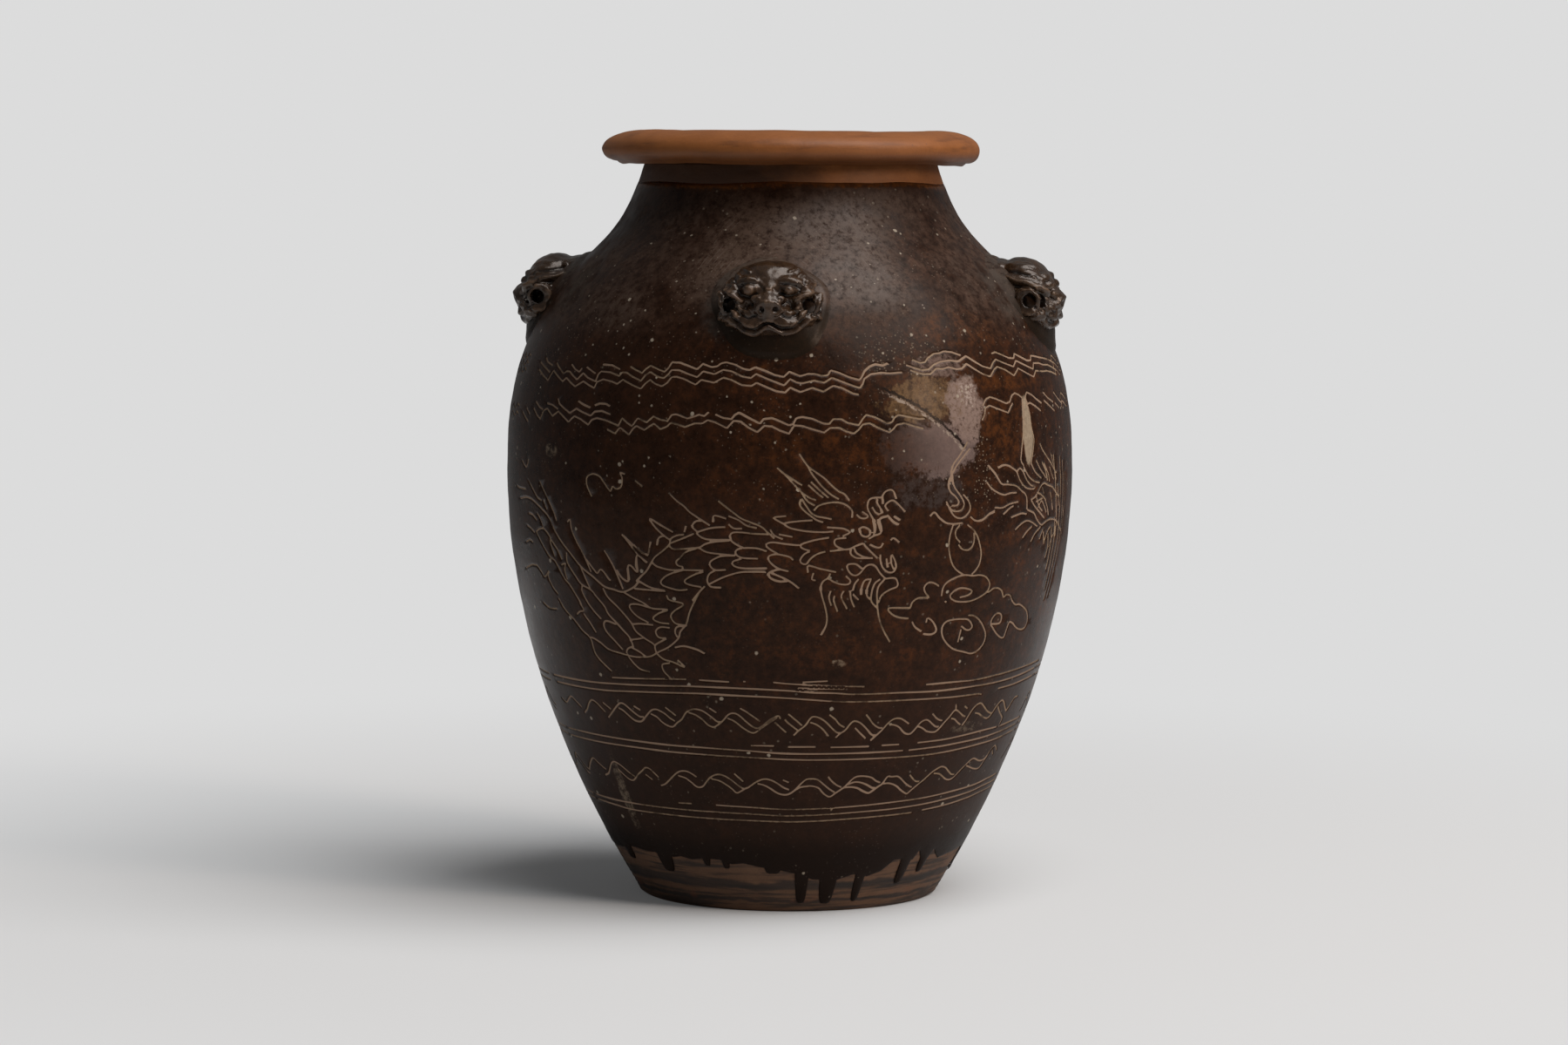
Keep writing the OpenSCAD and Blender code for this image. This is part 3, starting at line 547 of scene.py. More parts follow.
# %% Second figure at the right: leaf, rays, eye and mane
SECOND = [
    [42.4, 301.7, 44.4, 295.8, 46.2, 289.2, 48.4, 288.3, 50.7, 287, 52.7, 283.3, 54, 280.8, 54.6, 277.5, 54.8, 270.8],
    [42, 290.8, 43.3, 286.7, 45.3, 283.3, 47.1, 281.7, 48.9, 282.5, 50.9, 282.5],
    [45.3, 300, 46.7, 301.3, 48.2, 300.8, 49.6, 298.8, 50.9, 296.3, 52, 290.4, 53.3, 286.7, 54.7, 284.6, 56.9, 283.8, 57.8, 285],
    [50.9, 296.3, 52, 298.3, 53.1, 295.8, 54.2, 290.8, 55.8, 286.7, 57.6, 285.4],
    [53.3, 299, 55.1, 292.5, 57.1, 289, 59.3, 287.5], [56, 300.8, 57.6, 295, 60, 290.4],
    [58, 302.5, 59.6, 296.7, 61.3, 292.5, 62, 290], [60.4, 300.8, 62, 295, 62.9, 288.3], [61.3, 300, 63.1, 293.3, 64, 287.5],
    [64, 297, 65.1, 291.7, 66, 288.3], [59.6, 313.3, 60.7, 309, 62.9, 303.3, 64.9, 299, 66.7, 294, 67.8, 292.5],
    [56.2, 276.7, 58.2, 279, 59.6, 284, 61.3, 286.7, 63.3, 285, 65.6, 283.3, 67.8, 279, 69.8, 275.8],
    [56.2, 276.7, 57.6, 272.5, 59.3, 269, 60.9, 265.8, 62.2, 263.3], [58.2, 275, 60.7, 276.7],
    [40, 265.8, 41.3, 266.7, 42.9, 270, 44.4, 271.7], [44.4, 273.8, 46.7, 273.3, 48.9, 275.4, 51.6, 276.3],
    [47.1, 269, 48.9, 272.5, 50, 273.8], [49.6, 266.3, 51.3, 267.5, 53.1, 268.3, 54.7, 267.5],
    [51.1, 258, 53.3, 261.7, 55.1, 263, 56.9, 261.7, 59.3, 258.3], [53.9, 252, 55.3, 255.8, 57.1, 258.8],
    [57.1, 248.8, 58.4, 253.3, 60.7, 257.5], [60.7, 249.6, 62, 255.8], [63.1, 248.3, 64.4, 254.2, 65.6, 256.7],
    [65.8, 243.3, 66.9, 249, 68, 251.7], [55.3, 270, 57.6, 267.5, 58.9, 263.3, 61.1, 259, 63.3, 260.8, 65.6, 261.7, 68.9, 260, 71.1, 255.8, 72.9, 251.7],
    [54.4, 343.3, 54.2, 334, 53.6, 325, 53.1, 316.7, 52.6, 309, 52.4, 303.3, 53.3, 300],
    [55.6, 345, 56.4, 334, 56.6, 325, 57.2, 316.7, 56.9, 310.8, 56, 300.8],
    [66, 305, 67, 290, 68, 275, 69, 262, 69, 250], [70, 303, 70.5, 285, 71, 268, 71, 250, 70, 232, 68.5, 215, 67.5, 207],
    [72, 300, 72.5, 280, 73, 260, 72.5, 240, 71, 222, 69.5, 208], [68, 262, 68.5, 245, 68, 230, 67, 214],
    [66.5, 256, 66.8, 243, 66, 228], [73.8, 292, 74.2, 270, 74, 250], [64.5, 306, 66, 298, 67.5, 288], [69, 283, 70, 270],
    [58.5, 281, 60.5, 279, 62.5, 275], [58, 279.5, 59.5, 272, 61, 268.5], [59.2, 271, 60.5, 275, 62, 271, 63, 267],
    [62, 276, 63.5, 270, 64.2, 265], [64.5, 280, 65.5, 274, 66.4, 268], [60.6, 284, 61.4, 280], [62.4, 254, 63, 246],
    [64.8, 252, 65.2, 243, 64.6, 236],
]

# %% Zigzag bands, drawn with a comb
ZIGZAG_HIGH = [
    [-65.4, 365.2, -62.3, 362, -59.6, 359.2], [-63.1, 368.3, -61.9, 365.8, -59.2, 363.8],
    [-65, 360.2, -62.3, 356.7, -59.6, 353.8, -58.1, 360.6, -56.2, 357.5, -53.8, 354, -52.7, 356.5, -51, 353.8,
     -49.2, 351.3, -46.9, 355, -45, 352.7, -43.3, 351, -42.9, 355, -41.2, 357, -38.8, 355.8, -37.3, 354.4,
     -36, 357.3, -33.5, 354.2, -31.3, 351.9, -30.4, 355.4, -29.4, 357.9, -28.1, 355.4, -26.5, 354, -25.4, 356.3,
     -24.6, 360, -23.5, 360.4, -21.9, 359.2, -19.2, 355.6, -18.1, 358.8, -15.4, 357.1, -13.5, 360.4,
     -11.9, 359.2, -9.6, 355.8, -7.7, 355.4, -6.7, 357.5, -4.6, 354.6, -2.7, 352.1, -1, 351.3, 0, 354.6,
     2, 351.7, 4.4, 354.4, 6.6, 352, 8.6, 355.8, 10.4, 354.2, 12.4, 350.8, 13.6, 350],
    [25.2, 365, 27.6, 362.5, 29.6, 362.3, 31.2, 365.8, 32.8, 365.4, 34.4, 366.5, 36.4, 365, 37.8, 365.4,
     39.2, 368.3, 41.2, 364.6, 43.2, 361.3, 45.2, 359.4, 46.8, 363.8, 48, 365.6, 50.4, 363.3, 53, 359.2,
     55.2, 363.8, 58, 360.4, 60.8, 357.5, 62.4, 361.3, 66, 360.4, 68.4, 360.4, 71.2, 359.2, 75, 356.7],
    [-57.7, 365.6, -55.8, 362, -54, 359, -53.1, 360.8, -51.9, 360.6, -50.4, 357.9, -49, 355.8, -47.5, 360.4,
     -45.8, 357.5, -43.3, 355.4, -42.9, 360, -42.3, 362, -39.6, 361.7, -37.1, 359.6, -36.5, 362, -35.4, 362,
     -33.5, 359.2, -31.5, 357, -30.6, 360.8, -29.6, 362.9, -27.7, 360, -26.3, 359.2, -25.4, 361.7,
     -24.8, 364.6, -23.1, 364.6, -21.2, 362.5, -19, 360.4, -17.9, 364.2, -15.4, 362.5, -13.7, 365.4,
     -11.9, 364.6, -9.6, 361.3, -7.9, 360.4, -6.9, 363.1, -4.6, 360, -1.2, 355.9, 0, 360, 1.2, 357.9,
     2.4, 357.3, 4.8, 359, 6.8, 357.7, 8.4, 360.8, 10.4, 358.3, 12.4, 355.8, 14, 354.2, 14.6, 356.7,
     15, 360, 16.4, 362.9, 18.8, 363.8, 20.4, 363.3, 23.2, 363.8],
    [24.4, 368.3, 26, 366.7, 27.8, 365, 29.4, 365.4, 30.8, 368.3, 32.4, 370, 34.8, 370.8, 37.2, 370,
     39.6, 373.3, 41.6, 369.6, 43.6, 366.3, 45.8, 364.6, 47, 368.3, 48.2, 370.4, 50.4, 367.9, 53.6, 365,
     55.2, 368.8, 58, 365.8, 61.4, 362.5, 62.4, 366.3, 65.2, 366, 67.2, 364.6, 70, 364.2, 75, 360.4],
    [-51.9, 365.4, -50.4, 362.5, -48.8, 360.8, -48.3, 363.1], [-46.7, 364.2, -45, 362, -43.8, 360.6],
    [-42.1, 366.5, -39.6, 366.3, -37.3, 364],
    [-34.6, 365.8, -33.1, 363.8, -31.5, 362, -30.8, 364.6, -29.8, 367, -27.7, 364.6, -26.3, 363.3,
     -25.6, 365.8, -25, 369.6, -23.1, 369.4, -21.2, 367.5, -19.2, 365.4, -18.1, 369, -16.2, 367, -15, 367.5,
     -14.2, 369.6, -13.1, 370.2, -11.2, 368.8, -9.6, 366.3, -8.3, 365.4, -7.1, 367.3, -5, 365, -3.1, 362.5,
     -1.3, 361.3, -0.2, 364.6, 2, 361.9, 3.6, 363.3, 5, 363.3, 6.4, 362, 7.6, 362.5, 8.2, 365.6, 10, 363.8,
     12, 361, 14, 359.2, 14.6, 361.7, 15.2, 365, 16.4, 367.9, 17.6, 369.2, 19.2, 368.3, 20.2, 369.6],
    [26, 371.7, 27.6, 369.6, 28.8, 370, 29.6, 372.5, 31.2, 375.2, 32.8, 375.6, 34, 376.7, 36, 376, 38, 374],
    [47.4, 374.2, 48.6, 375, 50.4, 373.3, 52.8, 370.8, 54.6, 370.4, 55.4, 373.3, 57.6, 370.8, 59.8, 368.3,
     61.6, 368.3, 62.2, 371.3, 64.4, 370.6, 66.4, 369.6, 68.8, 368.8, 71.6, 367.5, 75, 365],
]
ZIGZAG_LOW = [
    [-70, 331.3, -66.2, 325.4], [-67.7, 334.2, -65.6, 330.4],
    [-63.8, 334.6, -61.9, 330.4, -60.2, 327.9, -59, 334.2, -57.7, 335.4, -55.4, 330.8, -53.5, 334.2,
     -51.9, 331.7, -49.8, 327.9, -48.1, 332, -46.2, 330.4, -43.8, 327, -42.9, 330.4, -41.5, 331.7, -39.2, 330.6, -35.8, 327.5],
    [-63.1, 339, -61.2, 335.8, -59.6, 334.6], [-58.1, 339, -55.8, 337.9, -53.8, 335.8],
    [-54.2, 342.5, -53.5, 339.2, -51.5, 336.3, -49.6, 333.8, -47.7, 337, -45.8, 335, -43.3, 332.9,
     -42.3, 335.8, -40.4, 336.5, -38.1, 334.6],
    [-47.3, 341.9, -45.8, 340, -43.8, 338.3], [-42.3, 340, -41.2, 341.3, -39.6, 341.3, -38.5, 340],
    [-38.5, 324.6, -36.5, 322.3, -35.4, 326.3, -34.2, 324.2, -33.1, 321.9, -32.3, 325.8, -31.5, 327.9,
     -29.6, 325.4, -28.5, 327.9, -27.5, 329.8, -26, 326.3, -24.6, 328.3, -23.8, 330.8, -22.7, 330,
     -20.8, 328.3, -18.8, 330.8, -17.3, 330.8, -16.2, 333.1, -14.6, 331.7, -12.3, 328.1, -11, 332.9,
     -9.6, 332.5, -8.1, 328.8, -6.3, 325.8, -5, 330, -3.5, 329.6, -1.9, 327, -0.2, 325, 0.8, 330.4,
     2.4, 330, 4.4, 327.9, 6.6, 325.8, 7.8, 328.8, 9.6, 328.8, 10.8, 326.7, 12.4, 325, 13.4, 327.5,
     14.2, 330.8, 15.6, 331.7, 17.2, 328.8, 19.6, 325.6, 20.4, 327.5, 21.2, 330.4, 22.8, 331.3, 25.2, 328.8, 26.8, 327.5],
    [-35.8, 327.5, -35, 332.5, -33.7, 329.6, -32.5, 327.5, -31.9, 330.4, -31.3, 332.9, -29.2, 330.4,
     -27.7, 334.4, -26.2, 332.5, -24.6, 331.7, -23.8, 335.8, -22.7, 336.3, -20.4, 333.8, -18.8, 335.4,
     -18.1, 336.5, -16.9, 335.6, -16.2, 337.9],
    [-14.6, 336.7, -13.1, 334.6, -11.5, 334, -10.8, 336.7, -10, 338.3, -8.1, 335, -5.8, 331.3, -5.2, 334.2,
     -3.5, 335, -1.9, 332.9, -0.2, 330.4, 0.6, 331.3, 1.2, 335, 2.4, 335.8, 4.4, 334.6, 6.4, 331.7,
     7.6, 331.3, 8.4, 334.4, 10, 334.4, 11.2, 332, 13.4, 330.4, 14.4, 335, 15, 337, 16.8, 335.4,
     19.2, 331.3, 20.2, 332, 20.8, 335, 21.6, 336.7, 23.6, 335.4, 26, 333.8, 27.2, 333.8],
    [41.8, 340.8, 42.8, 345, 44, 346.3, 45.6, 345, 48.8, 341.5, 50, 342.5, 50.8, 346.3, 52, 347.9, 53.2, 346.7, 54.4, 344.6],
    [55.6, 345, 56.4, 347.9, 58.4, 345.8, 60, 342.9, 62, 340], [63.6, 346.7, 65.6, 342.9, 68.4, 339.6],
    [69.6, 345.8, 72, 341.3, 75, 337.5],
    [41.2, 331.7, 42, 335, 42.4, 339.2, 43.6, 340.8, 46, 338.3, 49, 335.4, 49.8, 338.3, 50.8, 341.3],
    [55.6, 340, 57.2, 340.8, 59.2, 338.3, 61.2, 335], [63.6, 341.3, 66, 337.5, 68.4, 333.8], [69.6, 338.8, 72, 335],
]

# %% Wavy bands, drawn with a two-toothed comb
WAVE_HIGH = [
    [-66, 139, -64, 136.5, -62, 139.5, -60.2, 141.5, -58.5, 139, -56.5, 135.5],
    [-55.8, 131.8, -54.2, 134.9, -52.7, 139.3, -51.3, 141.8, -50, 140.8, -48.8, 138.3, -47.3, 134.9],
    [-46.7, 131.1, -45, 134.9, -43, 139.6, -41.7, 142.1, -40.6, 142.1, -39.4, 139.9, -38, 136.8, -36.5, 134.3, -35.4, 134.3],
    [-42.3, 138.6, -41.2, 137.4, -39.6, 133.9, -38.3, 131.4, -36.9, 130.7, -35.8, 131.8, -34.6, 134.9,
     -33, 138.9, -31.9, 140.2, -30.8, 139.9, -29.4, 138, -28, 134.9, -27, 133.3],
    [-33, 136.8, -31.5, 134.9, -30.4, 131.8, -29, 129.6, -27.7, 129.1, -26.5, 131.8, -25, 134.9, -23.7, 139.6,
     -22.3, 141.8, -21, 142.1, -19.6, 141.1, -18, 138, -16.5, 134.6, -15.8, 134.3],
    [-23, 139.6, -21.5, 138.3, -20, 135.5, -18.7, 131.8, -17.5, 130.5, -16.5, 131.8, -15, 135.2, -13.7, 139.3,
     -12.5, 140.5, -11.3, 139.3, -9.6, 134.9, -8, 131.4, -6.9, 130.8, -5.8, 132.7, -4.2, 136.8, -2.3, 139.3, -1.9, 137.4],
    [-13.8, 136.8, -12.3, 134.9, -10.4, 130.5, -9, 128, -7.9, 127.4, -6.9, 129.3, -5.8, 131.8, -3.9, 135.5, -2.7, 138],
    [-47.3, 141.1, -45.2, 137.4], [-37.5, 141.1, -36, 138.9], [-28.8, 142.1, -26.5, 137.1], [-17.9, 143.3, -16.5, 140.5],
    [-10.8, 143.9, -9.2, 141.1, -6.5, 135.5], [-3.1, 134.9, -0.6, 128], [-0.8, 136.8, 0, 134.3, 1.9, 129.9],
    [0, 140.5, 1.5, 136.8, 3, 133],
    [1.2, 126.1, 2.3, 129.3, 3.8, 133, 4.8, 137.4, 5.6, 138.9, 6.9, 138, 8.3, 135.5, 9.6, 131.8, 11, 128, 11.9, 127.4],
    [5, 134.9, 6.2, 133.6, 7.7, 130.5, 9.2, 125.5],
    [11, 124.3, 11.9, 126.8, 13.1, 129.3, 14, 133, 14.8, 135.2, 15.8, 134.9, 16.9, 133, 18.3, 129.3, 19.6, 125.5, 20.8, 124.9],
    [9.2, 139.9, 10.6, 136.8, 11.5, 133.6, 12.7, 131.4], [15.4, 130.5, 16.5, 127.4, 18.1, 123.3],
    [17.7, 139.3, 18.5, 136.8, 19.6, 133, 21, 130.2, 21.9, 129.9],
    [19.6, 121.8, 20.8, 124.9, 22.1, 128.6, 23.1, 132.4, 24.2, 135.2, 25.4, 136.1, 26.5, 135.5, 27.7, 133.6, 28.7, 131.8],
    [23.8, 132.1, 25.4, 131.1, 26.5, 129.3, 27.7, 126.1, 28.8, 124.6, 29.8, 124.9, 30.8, 128, 31.9, 132.1,
     33.1, 133.6, 34, 133, 35.4, 130.2, 36.5, 128.3, 37.3, 128],
    [31.5, 129.3, 32.7, 128, 34.2, 125.5, 35.8, 124.6, 36.9, 124.9, 37.9, 127.4, 38.8, 130.5, 40, 134.3,
     40.8, 137.4, 41.5, 138.6, 42.7, 137.1, 44.2, 134.3, 45.2, 133.3],
    [34.8, 137.4, 35.8, 134.9, 36.9, 133, 38, 132.1], [41.2, 142.4, 41.5, 139], [44.2, 140.5, 45.2, 138.9],
    [40.8, 133, 41.9, 132.1, 43, 129.9, 44.2, 128],
    [45, 127.4, 45.8, 130.5, 46.5, 134.9, 47.5, 138.9, 48.7, 141.1, 49.8, 141.1, 51.2, 138.6, 52.7, 135.5, 54.2, 133.6, 55, 133],
    [48.5, 134.9, 50, 133.9, 51.5, 131.8, 53.5, 129.9, 54.6, 130.5, 55.4, 133, 56.3, 136.8, 57.5, 139.9,
     58.5, 140.8, 59.6, 139.3, 61, 135.5, 62.3, 132.4],
    [57.3, 136.8, 58.8, 133, 60.8, 129.3, 61.5, 127.4, 61.2, 123.6], [62.3, 132.4, 63.5, 136.1, 65, 140.5, 66.9, 141.1],
]
WAVE_LOW = [
    [-65, 89.9, -62.3, 95.5, -59.6, 99.3, -57.3, 96.1, -55, 93],
    [-56.2, 88.6, -54.2, 90.5, -52.7, 94.3, -51.3, 98, -50, 99.6, -48.5, 98.9, -46.5, 96.1, -44.6, 92.7, -43.5, 91.4],
    [-49.2, 94.9, -47.7, 91.8, -46.2, 88.9, -44.8, 88, -43.5, 89.6, -41.9, 93, -40, 96.1, -38.8, 98.3,
     -37.7, 98.3, -36.5, 96.1, -35.2, 92.7],
    [-39.2, 93.6, -37.5, 90.5],
    [-35, 86.8, -33.7, 88, -32.3, 90.5, -30.8, 93.6, -29.6, 96.1, -28.3, 98, -26.7, 98.6, -25.4, 97.7, -23.8, 95.2],
    [-28.8, 94.9, -26.9, 93.6, -25.6, 91.1, -24.4, 88.3, -23.5, 87.7, -22.3, 88.9, -21.2, 92.1, -20, 95.2,
     -18.7, 97.1, -17.3, 97.7, -15.8, 96.4, -14.2, 93.6, -12.7, 90.2, -11.2, 88.3, -9.6, 90.5, -8.3, 93,
     -6.9, 94.9, -5.6, 95.5, -4.2, 94.6, -2.7, 92.4, -1.2, 89.6, 0, 88.3],
    [-19.6, 94.3, -17.7, 93.3, -16.2, 91.1, -14.6, 88, -13.5, 85.2, -12.3, 86.4, -10.8, 88.9],
    [-7.7, 92.1, -6.2, 91.1, -4.6, 88.9, -3.1, 86.1, -1.5, 84.6, 0, 84.9, 1.5, 87.4, 3.1, 92.1, 4.4, 95.2,
     5.6, 95.8, 7.3, 95.2, 8.8, 92.1, 10.4, 88.6, 11.9, 86.1],
    [-13.5, 98.6, -11.5, 93.6], [-1.3, 94.9, 0, 93.3],
    [1.5, 87.4, 3.1, 89.9, 4.6, 90.5, 5.8, 90.8, 7.7, 89.3, 8.8, 86.1, 10, 83.6, 11, 83, 12.3, 85.5, 13.7, 88,
     14.6, 89.9, 15.8, 93.6, 16.9, 96.1, 18.1, 96.8, 20, 96.4, 21.5, 95.2, 22.7, 93, 23.8, 91.8],
    [10, 96.8, 11, 93.9, 12.3, 91.1, 13.5, 89.6],
    [15.4, 91.4, 16.9, 92.7, 18.5, 92.4, 20.4, 90.5, 21.9, 88.3, 22.7, 88],
    [14.8, 89.3, 16.5, 89.3, 18.1, 88.3, 19.6, 86.1, 21.2, 84.6, 22.3, 86.1, 23.5, 88.6, 24.6, 90.5,
     25.8, 95.5, 26.9, 95.2, 28.7, 95.2, 30, 93, 31.5, 89.9, 33.1, 87.4, 33.8, 86.8],
    [24.6, 90.5, 26.2, 90.8, 27.7, 89.9, 29.2, 88, 30.8, 84.9, 32.7, 82.4, 33.5, 83.6, 34.6, 86.1, 35.8, 88.6,
     37.3, 91.8, 38.8, 95.5, 40.4, 98, 41.9, 99.3, 43.5, 98.3, 45, 95.5, 46.5, 93, 47.7, 92.4],
    [32.3, 95.5, 33.5, 92.7, 34.6, 90.8, 35.6, 90.5],
    [40, 95.2, 41.9, 94.3, 43.5, 92.1, 45, 89.9, 46.5, 89.1, 47.7, 89.9, 48.8, 92.4, 50, 95.5, 51.5, 98.6,
     52.9, 101.1, 54.2, 101.8, 55.8, 100.5, 57.3, 99.3, 59.2, 99.3, 60.4, 101.8, 61.2, 104.9, 62.3, 107.4, 63.5, 108, 65.4, 104.3],
    [51.9, 97.4, 53.8, 95.8, 55.8, 94.3, 57.7, 93.6, 58.8, 94.3, 59.8, 98, 60.8, 101.8], [62.7, 104.9, 63.8, 101.8],
]

# %% Turned rings, which waver and break off
RINGS = [
    [-42.3, 159.5, -35, 160.5, -27, 161.8, -22.7, 162.3], [-19.6, 162.2, -13, 161.7], [-9.8, 162.2, -9.4, 162.2],
    [-3.3, 162, 0, 161.1, 8, 159.7, 16.5, 158.7], [3, 162.2, 8.3, 162.9], [2, 158, 12, 157.4],
    [-67, 154.4, -50, 154.6, -40.4, 155.5, -30, 156.7, -21, 157.7, -9.6, 157.5, 0, 156.4, 5, 155.2,
     10, 154.6, 14.6, 153.6, 25, 153.5, 34.6, 153, 45, 153.9, 53.8, 154.7, 61.5, 156.1, 69, 157.7, 76, 158.8],
    [-66, 149.9, -47, 149.9, -38.5, 151, -30, 152.1, -20, 153, -12.7, 152.6, -5.8, 152.1, 0, 151.3, 5, 150.2,
     10, 149, 15.4, 148.5, 25, 148.3, 34.6, 148, 40.4, 147.9, 47.3, 148.3, 48.8, 147.7],
    [55, 149.9, 61.5, 150.8, 69, 152.4, 76, 153.3],
    [31.5, 158, 38.5, 158.3, 45, 158.3, 52.7, 159.8, 61.5, 161.4, 70.8, 162.7, 76, 163],
    [-8.8, 118.6, -3.5, 118.6], [0, 118, 6.3, 118], [10, 117.5, 19.2, 117.4], [22.7, 117.7, 27.1, 117.7],
    [32.3, 118, 40, 118.6, 45, 119.6, 53.8, 121.4, 61.5, 122.1, 67, 123.3, 76, 124],
    [-70, 117.4, -55.8, 117.4, -40.4, 116.8, -30, 116.1, -20, 115.8, -10, 114.9, 0, 113.3, 15, 113, 28.5, 113.2],
    [30.2, 113.2, 40, 114.1, 45, 114.9, 53.8, 116.1, 61.5, 117.7, 69, 119.3, 76, 120],
    [-70, 112.6, -55.8, 112.4, -40.4, 112.2, -30, 111.4, -20, 111, -10, 110.4, 0, 109.2, 10, 108.8, 30, 108.8,
     40, 109.4, 45, 110.2, 53.8, 111.8, 61.5, 113, 69, 114.9, 76, 115.5],
    [-30.8, 75.5, -26.9, 75.8],
    [-19.6, 75.8, -9.6, 75.2, 0, 74.2, 11.5, 74.9, 20, 75.8, 30, 77.1, 40, 78.3, 50, 80.2, 60, 81.8, 68.5, 83.9, 76, 84.6],
    [-70, 71.4, -50, 71.1, -35, 71.1, -20, 70.8, -10, 70.5, 0, 69.7, 11.5, 70.5, 20, 71.4, 29, 72.1, 40, 73.6,
     50, 75.5, 60, 77.4, 67.3, 79.3, 76, 80],
    [-70, 68, -57.7, 67.4, -50, 66.3, -35, 66.4, -20, 66, -10, 65.8, 0, 65.5, 6.9, 65.8, 20, 67.1, 36.3, 68.3],
    [40, 69.3, 47.7, 70.5, 55, 72.1, 61.5, 73.6, 67.3, 74.9, 76, 75.6], [11.5, 74.6, 11.7, 70.6],
]

# %% [markdown]
# Round the back
#
# The photograph shows the front half of the jar. The bands and rings run on round the back, as the
# turning wheel made them, and close on themselves; the drawn figures stop at the sides.

# %% Bands and rings carried round the back
LEFT_END, RIGHT_END = -74, 75


def back_turns(step):
    """Turns from the right edge of the photographed half, round the back, to its left edge."""
    return np.arange(RIGHT_END, LEFT_END + 360 + step, step)


def carried_ring(left_z, right_z, waver=0.7, seed=1):
    a = back_turns(5.0)
    share = (a - a[0]) / (a[-1] - a[0])
    z = right_z + (left_z - right_z) * (share * share * (3 - 2 * share))
    z = z + waver * np.sin(np.radians(a * 3 + seed * 40)) * np.sin(np.pi * share)
    return np.stack([a, z], -1).ravel().tolist()


def carried_wave(left_z, right_z, tall, pitch, seed=1):
    """Rounded waves of a two-toothed comb that climbs steeply and falls slowly."""
    strokes, a, end = [], RIGHT_END - 2.0, LEFT_END + 358.0
    pick = random.Random(seed)
    while a < end:
        share = (a - RIGHT_END) / (end - RIGHT_END)
        z, w, h = right_z + (left_z - right_z) * share, pitch * pick.uniform(0.9, 1.1), tall * pick.uniform(0.85, 1.1)
        shape = [(-0.05, -0.5), (0.1, -0.28), (0.26, 0.2), (0.4, 0.5), (0.52, 0.44), (0.7, 0.02), (0.86, -0.34), (1.0, -0.42)]
        strokes.append([v for s, u in shape for v in (a + s * w, z + u * h)])
        strokes.append([v for s, u in shape[3:] for v in (a + s * w - 1.0, z + (u - 0.3) * h)])
        a += w
    return strokes


def carried_zigzag(left_z, right_z, teeth, seed=1):
    """Sharp teeth: a quick rise and a slow slanting fall, once for each tooth of the comb."""
    pick = random.Random(seed)
    a, end, path = RIGHT_END - 1.0, LEFT_END + 359.0, []
    while a < end:
        share = (a - RIGHT_END) / (end - RIGHT_END)
        z = right_z + (left_z - right_z) * share + 1.6 * math.sin(a / 9.0)
        rise, fall, w = pick.uniform(3.0, 5.5), pick.uniform(3.0, 5.0), pick.uniform(3.6, 5.6)
        path += [(a, z - fall / 2), (a + w * 0.22, z + rise / 2), (a + w * 0.6, z)]
        a += w
    return [[v for p in path for v in (p[0], p[1] + tooth)] for tooth in teeth]


BACK = (carried_wave(137, 135, 12, 9.6, 3) + carried_wave(94, 103, 11, 10.5, 5)
        + carried_zigzag(358, 357, (0, 4.9, 9.6), 7) + carried_zigzag(329, 336, (0, 5.2), 11))
for k, (left_z, right_z) in enumerate([(154.4, 158.6), (150, 153.2), (117.4, 119.9), (112.6, 115.4), (71.4, 79.8), (68, 75.4)]):
    BACK.append(carried_ring(left_z, right_z, seed=k))
print("strokes:", sum(map(len, (HEAD, NECK, BODY, CLOUD, SECOND, ZIGZAG_HIGH, ZIGZAG_LOW, WAVE_HIGH, WAVE_LOW, RINGS, BACK))))

# %% [markdown]
# Grooves
#
# A point dragged through wet glaze leaves a channel with a flat floor of bare clay and soft banks.
# Each stroke becomes a row of places every millimetre or so; the mesh gets points along the floor
# and the banks of the channel, and the depth at a point is worked out from its distance to the
# nearest stroke. Crossing strokes then cut one another cleanly, as they do in clay.

# %% Strokes as rows of places on the wall
UNROLL = 170.0
GROOVE_FLOOR, GROOVE_BANK, GROOVE_DEPTH = 0.4, 0.95, 0.5


def drawn(stroke, smooth=True, step=1.2):
    """Turns, heights and sideways directions every step mm along a stroke."""
    p = np.array(stroke, float).reshape(-1, 2)
    t = np.linspace(0, 1, 9)[:-1][:, None]
    if smooth and len(p) > 2:
        q = np.vstack([2 * p[0] - p[1], p, 2 * p[-1] - p[-2]])
        dense = [0.5 * (2 * b + (c - a) * t + (2 * a - 5 * b + 4 * c - d) * t**2 + (3 * b - a - 3 * c + d) * t**3)
                 for a, b, c, d in zip(q, q[1:], q[2:], q[3:])]
    else:
        dense = [a + (b - a) * t for a, b in zip(p, p[1:])]
    dense = np.vstack(dense + [p[-1:]])
    gone = np.linalg.norm(np.diff(on_jar(dense[:, 0], dense[:, 1]), axis=0), axis=1)
    run = np.concatenate([[0], np.cumsum(gone)])
    s = np.linspace(0, run[-1], max(2, int(round(run[-1] / step)) + 1))
    turn, z = np.interp(s, run, dense[:, 0]), np.interp(s, run, dense[:, 1])
    per_degree = outline(z)[0] * math.pi / 180
    along = np.gradient(np.stack([turn * per_degree.mean(), climb(z)]), axis=1)
    along /= np.linalg.norm(along, axis=0) + 1e-9
    return turn, z, -along[1] / per_degree, along[0]


def beside(line, offset):
    """The same row moved sideways by offset mm."""
    turn, z, across_turn, across_climb = line
    return np.stack([turn + across_turn * offset, height_at(climb(z) + across_climb * offset)], -1)


